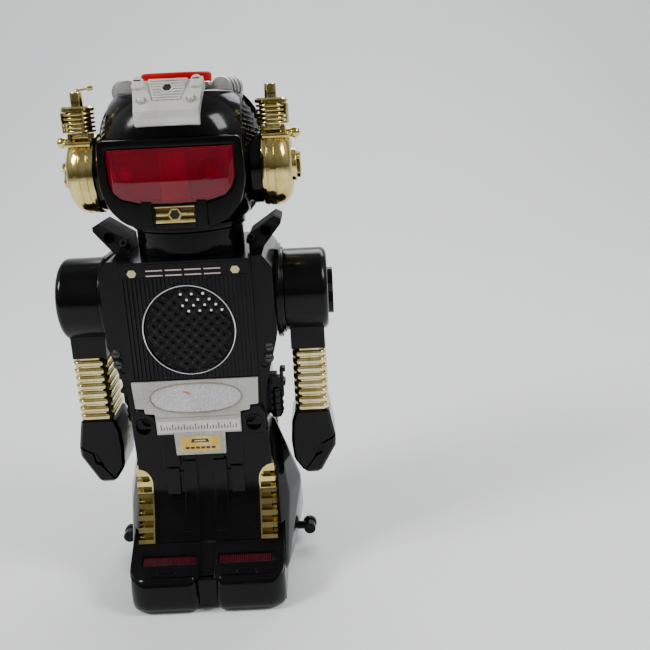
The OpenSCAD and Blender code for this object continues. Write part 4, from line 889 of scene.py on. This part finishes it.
def chest_dial():
    """Speckled plate with an embossed dial, plain ticks and a gold label with plain bars."""
    face = CHEST_Y - 1.4
    plate = Build()
    outline = mirrored([(0, 85.6), (13.8, 85.6), (14.2, 98.4), (23.4, 98.4), (23.6, 110.6), (28.9, 111.4),
                        (29.2, 114.2), (33.8, 114.6), (34.6, 129.9), (0, 129.9)])
    plate.prism(outline, "y", face, CHEST_Y + 1.0, bevel=0.3)
    plate.border(dial_outline(0.7), dial_outline(0.0), face - 0.45, face + 0.2, index=1)
    plate.prism(dial_outline(-0.2), "y", face - 0.1, face + 0.3, index=2)
    plate.box((-23.2, face - 0.12, 108.3), (23.2, face + 0.3, 108.65), index=1)
    # pale strip with plain ticks of three heights
    plate.box((-22.8, face - 0.1, 99.6), (22.8, face + 0.3, 106.2), index=3)
    for i in range(27):
        x = -20.8 + 1.6 * i
        height = (3.4, 1.7, 2.5, 1.7)[i % 4]
        plate.box((x - 0.24, face - 0.2, 101.1), (x + 0.24, face + 0.2, 101.1 + height), index=4)
    # needle mark
    plate.prism([(-7.2, 123.6), (-4.0, 121.9), (-2.6, 122.0), (-3.4, 123.2), (-6.4, 124.2)], "y",
                face - 0.2, face + 0.2, index=5)
    # label field: thin raised frame, gold ground, two plain bars
    plate.prism(rounded(-12.2, 87.0, 12.2, 97.5, 0.6), "y", face - 0.3, face + 0.2, bevel=0.15)
    plate.box((-11.0, face - 0.42, 87.8), (11.0, face + 0.1, 96.7), index=6)
    plate.prism([(-5.2, 93.2), (5.2, 93.2), (4.4, 95.4), (-4.4, 95.4)], "y", face - 0.5, face + 0.1, index=4)
    plate.prism([(-3.4, 93.9), (3.4, 93.9), (3.0, 94.7), (-3.0, 94.7)], "y", face - 0.56, face + 0.1, index=6)
    for i in range(6):
        plate.box((-8.4 + 2.9 * i, face - 0.5, 89.4), (-6.2 + 2.9 * i, face + 0.1, 90.7), index=4)
    give(plate.piece("chest_dial_plate"), "chest_plate", ["grey_paint", "rim_brown", "dial_paint", "strip_cream",
         "dark_ink", "needle_red", "label_gold"])


def belt_lugs():
    """Round bosses with deep screw holes beside the lower part of the chest plate; a disc of painted shade closes each
    hole.
    """
    lugs = Build()
    for k in SIDES:
        outline = fillet([(23.9, 96.5), (37.0, 96.5), (37.2, 108), (34.6, 113.6), (29.5, 113.6), (29.2, 110.6),
                          (23.9, 109.8)], 2.6)
        lug = Build().prism([(k * x, z) for x, z in outline], "y", -36.6, -31.0, bevel=0.7, segments=3)
        lug.cut(Build().rod("y", -40, -32.0, k * 30.6, 103.2, 4.2))
        lugs.take(lug.bm)
        lugs.ring("y", -37.0, -35.6, k * 30.6, 103.2, 4.2, 5.3, sides=64, bevel=0.45)
        # disc of painted shade at the bottom of the hole
        lugs.rod("y", -33.0, -31.2, k * 30.6, 103.2, 4.2, index=1)
    give(lugs.piece("belt_lugs"), "leg_front_shell", ["black_gloss", "hole_painted_shade"], replaces=False)


def waist_hooks():
    """Hose stub in a split sleeve with a hooked clip, on each flank."""
    hooks = Build()
    for k in SIDES:
        x = 41.9
        hooks.ring("z", 96, 113, k * x, -8, 2.0, 3.9, sides=32, bevel=0.5)
        hooks.rod("z", 94.2, 104, k * x, -8, 2.9, sides=32, bevel=0.6)
        for z in (98.0, 102.0, 106.0, 110.0):
            hooks.ring("z", z, z + 1.5, k * x, -8, 2.6, 4.4, sides=32, bevel=0.3)
        hooks.box((k * 37.5, -11.5, 99), (k * (x - 1), -4.5, 116), bevel=0.5)
        hooks.box((k * 38, -11, 113), (k * 43.4, -4, 121.5), bevel=0.8)
        hooks.box((k * 43, -10.5, 110), (k * 45.4, -4, 119), bevel=0.4)
        hooks.box((k * 44.8, -10, 107), (k * 46.8, -4, 124.5), bevel=0.5)
        hooks.box((k * 45.2, -10, 122.2), (k * 48.2, -4, 124.6), bevel=0.5)
        hooks.rod("y", -11, -3, k * 46.4, 115.5, 1.7, sides=24, bevel=0.3)
    give(hooks.piece("waist_hooks"), "waist_clips")


def back_marks():
    """Slats over the pierced panel, plain label on the hatch, rings beside the switch and a moulded line."""
    back = BACK_Y + 0.2
    slats, marks, rings = Build(), Build(), Build()
    for i in range(11):
        x = 4 * (i - 5)
        slats.prism([(BACK_Y - 2.2, 140.4), (BACK_Y + 0.9, 142.4), (BACK_Y + 0.9, 189.0), (BACK_Y - 2.2, 191.0)],
                    "x", x - 0.85, x + 0.85, bevel=0.3)
    give(slats.piece("grille_slats"), "rear_grille", replaces=False)
    lens = [(x, 111.6 + 4.9 * (1 - abs(x / 21.6) ** 2.2)) for x in (-21.5 + 43 * i / 24 for i in range(25))]
    lens += [(-u, 223.2 - v) for u, v in lens]
    marks.prism(lens, "y", back - 0.1, back + 0.35, bevel=0.1)
    marks.rod("y", BACK_Y - 0.2, BACK_Y + 0.14, 0, 127, 3.3, sides=40, index=1)
    for i in range(9):
        x = -15.6 + 3.9 * i
        marks.prism([(x - 1.2, 110.0), (x + 0.6, 110.0), (x + 1.4, 113.2), (x - 0.4, 113.2)], "y",
                    back, back + 0.45, index=1)
    give(marks.piece("hatch_label"), "rear_hatch", ["label_champagne", "dark_ink"], replaces=False)
    for k in SIDES:
        rings.ring("y", BACK_Y - 0.4, BACK_Y + 0.5, k * 13.2, 69.1, 1.9, 3.0, sides=40, bevel=0.25)
        # a disc of painted shade in each ring's hole
        rings.rod("y", BACK_Y - 0.4, BACK_Y + 0.08, k * 13.2, 69.1, 1.9, sides=32, index=1)
    rings.ring("y", BACK_Y - 0.3, BACK_Y + 0.4, 0, 92.5, 0.9, 1.8, sides=32, bevel=0.2)
    for i in range(8):
        rings.box((-11.2 + 2.9 * i, BACK_Y - 0.3, 135.2), (-9.6 + 2.9 * i, BACK_Y + 0.25, 135.9))
    give(rings.piece("back_bosses"), "leg_rear_shell", ["black_gloss", "hole_painted_shade"], replaces=False)


# ---------- feet ----------

DECK_RISE, DECK_RUN = 12.0, 18.9
LAMP_Y = -51.9           # middle of the foot lamps


def on_deck(y):
    """A frame that lies on the sloping top of the feet."""
    return placed(0, y, 21.6 + DECK_RISE * (y + 61.4) / DECK_RUN, degrees(atan2(DECK_RISE, DECK_RUN)))


def toe_caps():
    """Pillow-shaped toe caps with a deep groove between them; the moulded tray and deck end behind them."""
    caps = Build()
    top, bottom, middle = 22.8, 1.1, 9.6
    heights = [sin(radians(-90 + 7.5 * i)) for i in range(25)]
    for k in SIDES:
        plan = [(4.7, -50.0, -1.0, 0.0, 0.62)]
        for i in range(9):
            a = radians(180 + 11.25 * i)
            plan.append((9.3 + 4.6 * cos(a), -60.6 + 4.6 * sin(a), cos(a), sin(a),
                         0.62 + 0.38 * i / 8))
        for i in range(17):
            a = radians(270 + 5.625 * i)
            plan.append((33.4 + 10.3 * cos(a), -54.9 + 10.3 * sin(a), cos(a), sin(a),
                         1.0 - 0.75 * smooth_step(4, 16, i)))
        plan.append((43.7, -51.0, 1.0, 0.0, 0.15))
        rings = []
        for u in heights:
            z = middle + u * ((top - middle) if u > 0 else (middle - bottom))
            inset = (4.9 if u > 0 else 5.4) * (1 - (1 - abs(u) ** 2.3) ** (1 / 2.3))
            rings.append([(k * (x - nx * inset * f), y - ny * inset * f, z) for x, y, nx, ny, f in plan])
        caps.loft(rings)
    # web between the caps
    caps.prism([(-59.4, 1.6), (-60.8, 5), (-60.8, 15), (-59.2, 20.6), (-50, 20.6), (-50, 1.6)], "x", -6.5, 6.5,
               bevel=1.2, segments=3)
    give(caps.piece("toe_caps", sharp=60), "base_tray", replaces=False)
    tray = Build().cad("base_tray")
    tray.cut(Build().box((-60, -80, -5), (60, -54.6, 40)))
    give(tray.piece("tray", soften=0.6), "base_tray")


def foot_details():
    """Rims round the lamps, the tabs of the toe caps and the ribs of the heel."""
    detail, heel = Build(), Build()
    for k in SIDES:
        # rim of the lamp window, open at its lower side
        detail.box((k * 5.0, 2.9, -1.2), (k * 38.0, 4.1, 0.55), bevel=0.25, move=on_deck(LAMP_Y))
        for x in (k * 5.5, k * 37.5):
            detail.box((x - 0.5, -2.9, -1.2), (x + 0.5, 3.4, 0.5), bevel=0.2, move=on_deck(LAMP_Y))
        # front edge of the deck, stepped round the tab of the toe cap
        low, high = -1.3, 2.6
        edge = [(4.4, 3.2), (4.4, low), (16.4, low), (17.4, high), (27.4, high), (28.4, low), (39.5, low),
                (42.4, 3.2)]
        outline = [(k * x, v) for x, v in edge] + [(k * 42.4, 4.6), (k * 4.4, 4.6)]
        detail.prism(outline, "z", -0.8, 0.45, bevel=0.25, move=on_deck(-60.2))
        detail.prism(fillet([(k * 17.3, -3.6), (k * 27.5, -3.6), (k * 26.7, 2.1), (k * 18.1, 2.1)], 1.0), "z", -0.9,
                     0.42, bevel=0.35, move=on_deck(-60.2))
    give(detail.piece("foot_mouldings"), "foot_cover", replaces=False)
    for k in SIDES:
        for x in (9.0, 16.0):
            heel.prism(rounded(k * x - 1.3, 9.0, k * x + 1.3, 24.5, 1.25), "y", 46.0, 48.9, bevel=0.35)
        x0, x1 = sorted((k * 29.0, k * 42.6))
        heel.prism(rounded(x0, 3.4, x1, 17.5, 1.2), "y", 46.0, 49.0, bevel=0.5)
        heel.box((k * 29.0, 40.5, 15.5), (k * 42.8, 48.8, 18.2), bevel=0.5)
    heel.box((-42.6, 46.6, 15.4), (42.6, 48.3, 16.1), bevel=0.2)
    give(heel.piece("heel_mouldings"), "base_tray", replaces=False)


def lamp_floor():
    """Red, finely ribbed lenses let into the feet; their own deep red is darkened further as painted shade of their
    recess.
    """
    floor = Build(on_deck(LAMP_Y))
    for k in SIDES:
        x0, x1 = sorted((k * 6.4, k * 36.6))
        # dark floor beneath the ribs: the lens's red painted darker as shade
        floor.box((x0, -2.4, -2.6), (x1, 2.5, -0.9))
        for i in range(26):
            x = x0 + 0.6 + 1.16 * i
            floor.box((x - 0.42, -2.3, -1.2), (x + 0.42, 2.4, -0.45), bevel=0.3, segments=1, index=1)
    give(floor.piece("foot_lamp_lenses"), "foot_lamps", ["lamp_deep", "lamp_red"])


LEG_LINE = [(33.7, -43.0), (38.1, -41.0), (48.0, -36.5), (60.0, -32.2), (72.0, -30.5), (85.0, -31.5)]


def leg_front(z):
    """How far forward the legs reach at height z."""
    return between(LEG_LINE, z)


def leg_panels():
    """Raised straps and panels down the front of the legs, beside the middle groove."""
    panels = Build()
    for k in SIDES:
        for xa, xb, lift, heights in ((13.6, 22.8, 0.95, (76.0, 85.0, 97.6)), (14.8, 22.2, 0.3, (59.0, 66.0, 74.0)),
                                      (4.9, 12.4, 0.75, (39.0, 48.0, 60.0, 72.0, 79.0))):
            low, high = heights[0], heights[-1]
            outline = [(leg_front(low) - lift + 0.5, low - 0.8)]
            outline += [(leg_front(z) - lift, z) for z in heights]
            outline += [(leg_front(high) - lift + 0.5, high + 0.8)]
            outline += [(leg_front(z) + 1.0, z) for z in reversed(heights)]
            panels.prism(outline, "x", *sorted((k * xa, k * xb)), bevel=0.25 if lift < 0.5 else 0.55, segments=3)
    give(panels.piece("leg_panels"), "leg_front_shell", replaces=False)


def leg_corner_trims():
    """The gold corner pieces, with chunky teeth beside a smooth inner border; the groove floors are painted dark gold
    as shade.
    """
    trims = Build().cad("leg_trims")
    for i in range(6):
        z = 36.3 + 6.2 * i
        for k in SIDES:
            x0, x1 = sorted((k * (31.2 if i < 5 else 32.8), k * 45))
            y0, y1 = leg_front(z), leg_front(z + 2.6)
            trims.cut(Build().prism([(-60, z - 0.5), (y0 + 2.5, z - 0.5), (y1 + 2.5, z + 3.0), (-60, z + 3.0)], "x",
                                    x0, x1))
            if i:
                trims.cut(Build().box((x0, BACK_Y - 2.2, z - 0.5), (x1, 60, z + 3.0)))
    # dark gold strips on the groove floors: painted shade
    for i in range(6):
        z = 36.3 + 6.2 * i
        y0, y1 = leg_front(z), leg_front(z + 2.6)
        for k in SIDES:
            x0, x1 = sorted((k * (31.3 if i < 5 else 32.9), k * 36.8))
            trims.prism([(y0 + 2.2, z - 0.4), (y1 + 2.2, z + 2.9), (y1 + 2.6, z + 2.9), (y0 + 2.6, z - 0.4)], "x",
                        x0, x1, index=1)
    give(trims.piece("corner_trims", soften=0.45), "leg_trims", ["gold_plating", "gold_groove_painted_shade"])


def fenders():
    """Bulging fenders on both sides of the legs, stretched over balls and trimmed to the base."""
    balls = ((34, -4, 87, 7), (33.5, -14, 46, 14.4), (37, 7, 44, 16), (35, -8, 16, 14.6), (33, -36, 17, 13),
             (36, 27, 17, 16.6))
    pods = Build()
    for k in SIDES:
        points = []
        for x, y, z, r in balls:
            for i in range(1, 24):
                a = pi * i / 24
                points += [(k * u, v, z + r * cos(a)) for u, v in circle(x, y, r * sin(a))]
        pod = Build().hull(points)
        for lo, hi in (((-10, -80, -10), (43.8, 80, 38.2)), ((-10, -80, 38.0), (38.3, 80, 120)),
                       ((-10, -80, -10), (80, 80, 3.1)), ((-10, -80, 38.0), (40.2, -21.2, 120)),
                       ((-10, 27.3, 38.0), (40.2, 80, 120))):
            pod.cut(Build().box((k * lo[0], *lo[1:]), (k * hi[0], *hi[1:])))
        pods.take(pod.bm)
    give(pods.piece("fenders", sharp=35), "side_pods")


# ---------- arms ----------

def forearms():
    """Plated sleeves: ribs with bevelled corners, each with a raised inner panel on its faces."""
    for side, word in HANDS:
        arm = Build()
        z0, pitch, height, count = 99.5, 4.7, 3.5, 8
        low, high, bevel = 52.8, 72.7, 2.6

        def section(t):
            pts = [(low + t + bevel, -15 + t), (high - t - bevel, -15 + t), (high - t, -15 + t + bevel),
                   (high - t, 15 - t - bevel), (high - t - bevel, 15 - t), (low + t + bevel, 15 - t),
                   (low + t, 15 - t - bevel), (low + t, -15 + t + bevel)]
            return [(side * x, y) for x, y in pts]

        arm.prism(section(1.9), "z", z0, 136.9)
        for i in range(count):
            z = z0 + pitch * i
            arm.prism(section(0.1), "z", z, z + height, bevel=1.25, segments=4)
            for y0, y1 in ((-15.25, -14.6), (14.6, 15.25)):
                arm.box((side * 57.0, y0, z + 0.95), (side * 68.4, y1, z + height - 0.95), bevel=0.25)
        arm.box((side * 55.1, -10.9, 136), (side * 69.5, 10.9, 142.5), index=1)
        give(arm.piece("sleeve_" + word), "forearm_" + word, ["pale_gold", "black_gloss"])


def hands():
    """Closed pincers with a stepped split and bevelled edges."""
    outline = [(53, 99.4), (72.6, 99.4), (75.8, 82), (75.6, 76), (66, 58.8), (57, 58.8), (50.6, 68), (49.6, 80),
               (50.4, 92)]
    split = [(78, 83.6), (66.2, 76.9), (63.6, 69.9), (54.4, 57.4)]
    half_width = 0.55
    grooves = []
    for (xa, za), (xb, zb) in zip(split, split[1:]):
        u, v = Vector((zb - za, xa - xb)).normalized() * half_width
        grooves.append((11.6, [(xa + u, za + v), (xb + u, zb + v), (xb - u, zb - v), (xa - u, za - v)]))
    grooves.append((12.2, [(63.2, 77.4), (68.6, 78.0), (67.4, 71.2), (62.6, 69.2)]))
    for side, word in HANDS:
        hand = Build().prism([(side * x, z) for x, z in outline], "y", -14, 14, bevel=1.6, segments=1)
        for floor, groove in grooves:
            for y0, y1 in ((-15, -floor), (floor, 15)):
                hand.cut(Build().prism([(side * x, z) for x, z in groove], "y", y0, y1))
        give(hand.piece("pincer_" + word, sharp=20, weighted=False), "hand_" + word)


# ---------- assembly ----------

for make in (make_camera, make_light, make_stage, dress_cad_nodes, head_shells, visor_frame, visor, mouth, brow, crown,
             ear_cups, antennas, chest_marks, speaker_front, chest_dial, belt_lugs, waist_hooks, back_marks, toe_caps,
             foot_details, lamp_floor, leg_panels, leg_corner_trims, fenders, forearms, hands):
    make()

SOFTENED = {
    "torso_front_shell": 0.35, "torso_rear_shell": 0.3, "rear_grille": 0.25, "rear_hatch": 0.3,
    "neck_tube": 0.5, "collar_wings": 0.45, "shoulder_collars": 0.5,
    "leg_front_shell": 0.5, "leg_rear_shell": 0.5, "foot_cover": 0.5, "exhaust_nozzles": 0.4,
    "switch_unit": 0.12, "switch_knob": 0.2, "crown_ring": 0.4, "upper_arm_left": 0.6, "upper_arm_right": 0.6,
    "head_base": 0.3, "visor_lens": 0.5,
}
for node_name, width in SOFTENED.items():
    soften_cad(node_name, width)
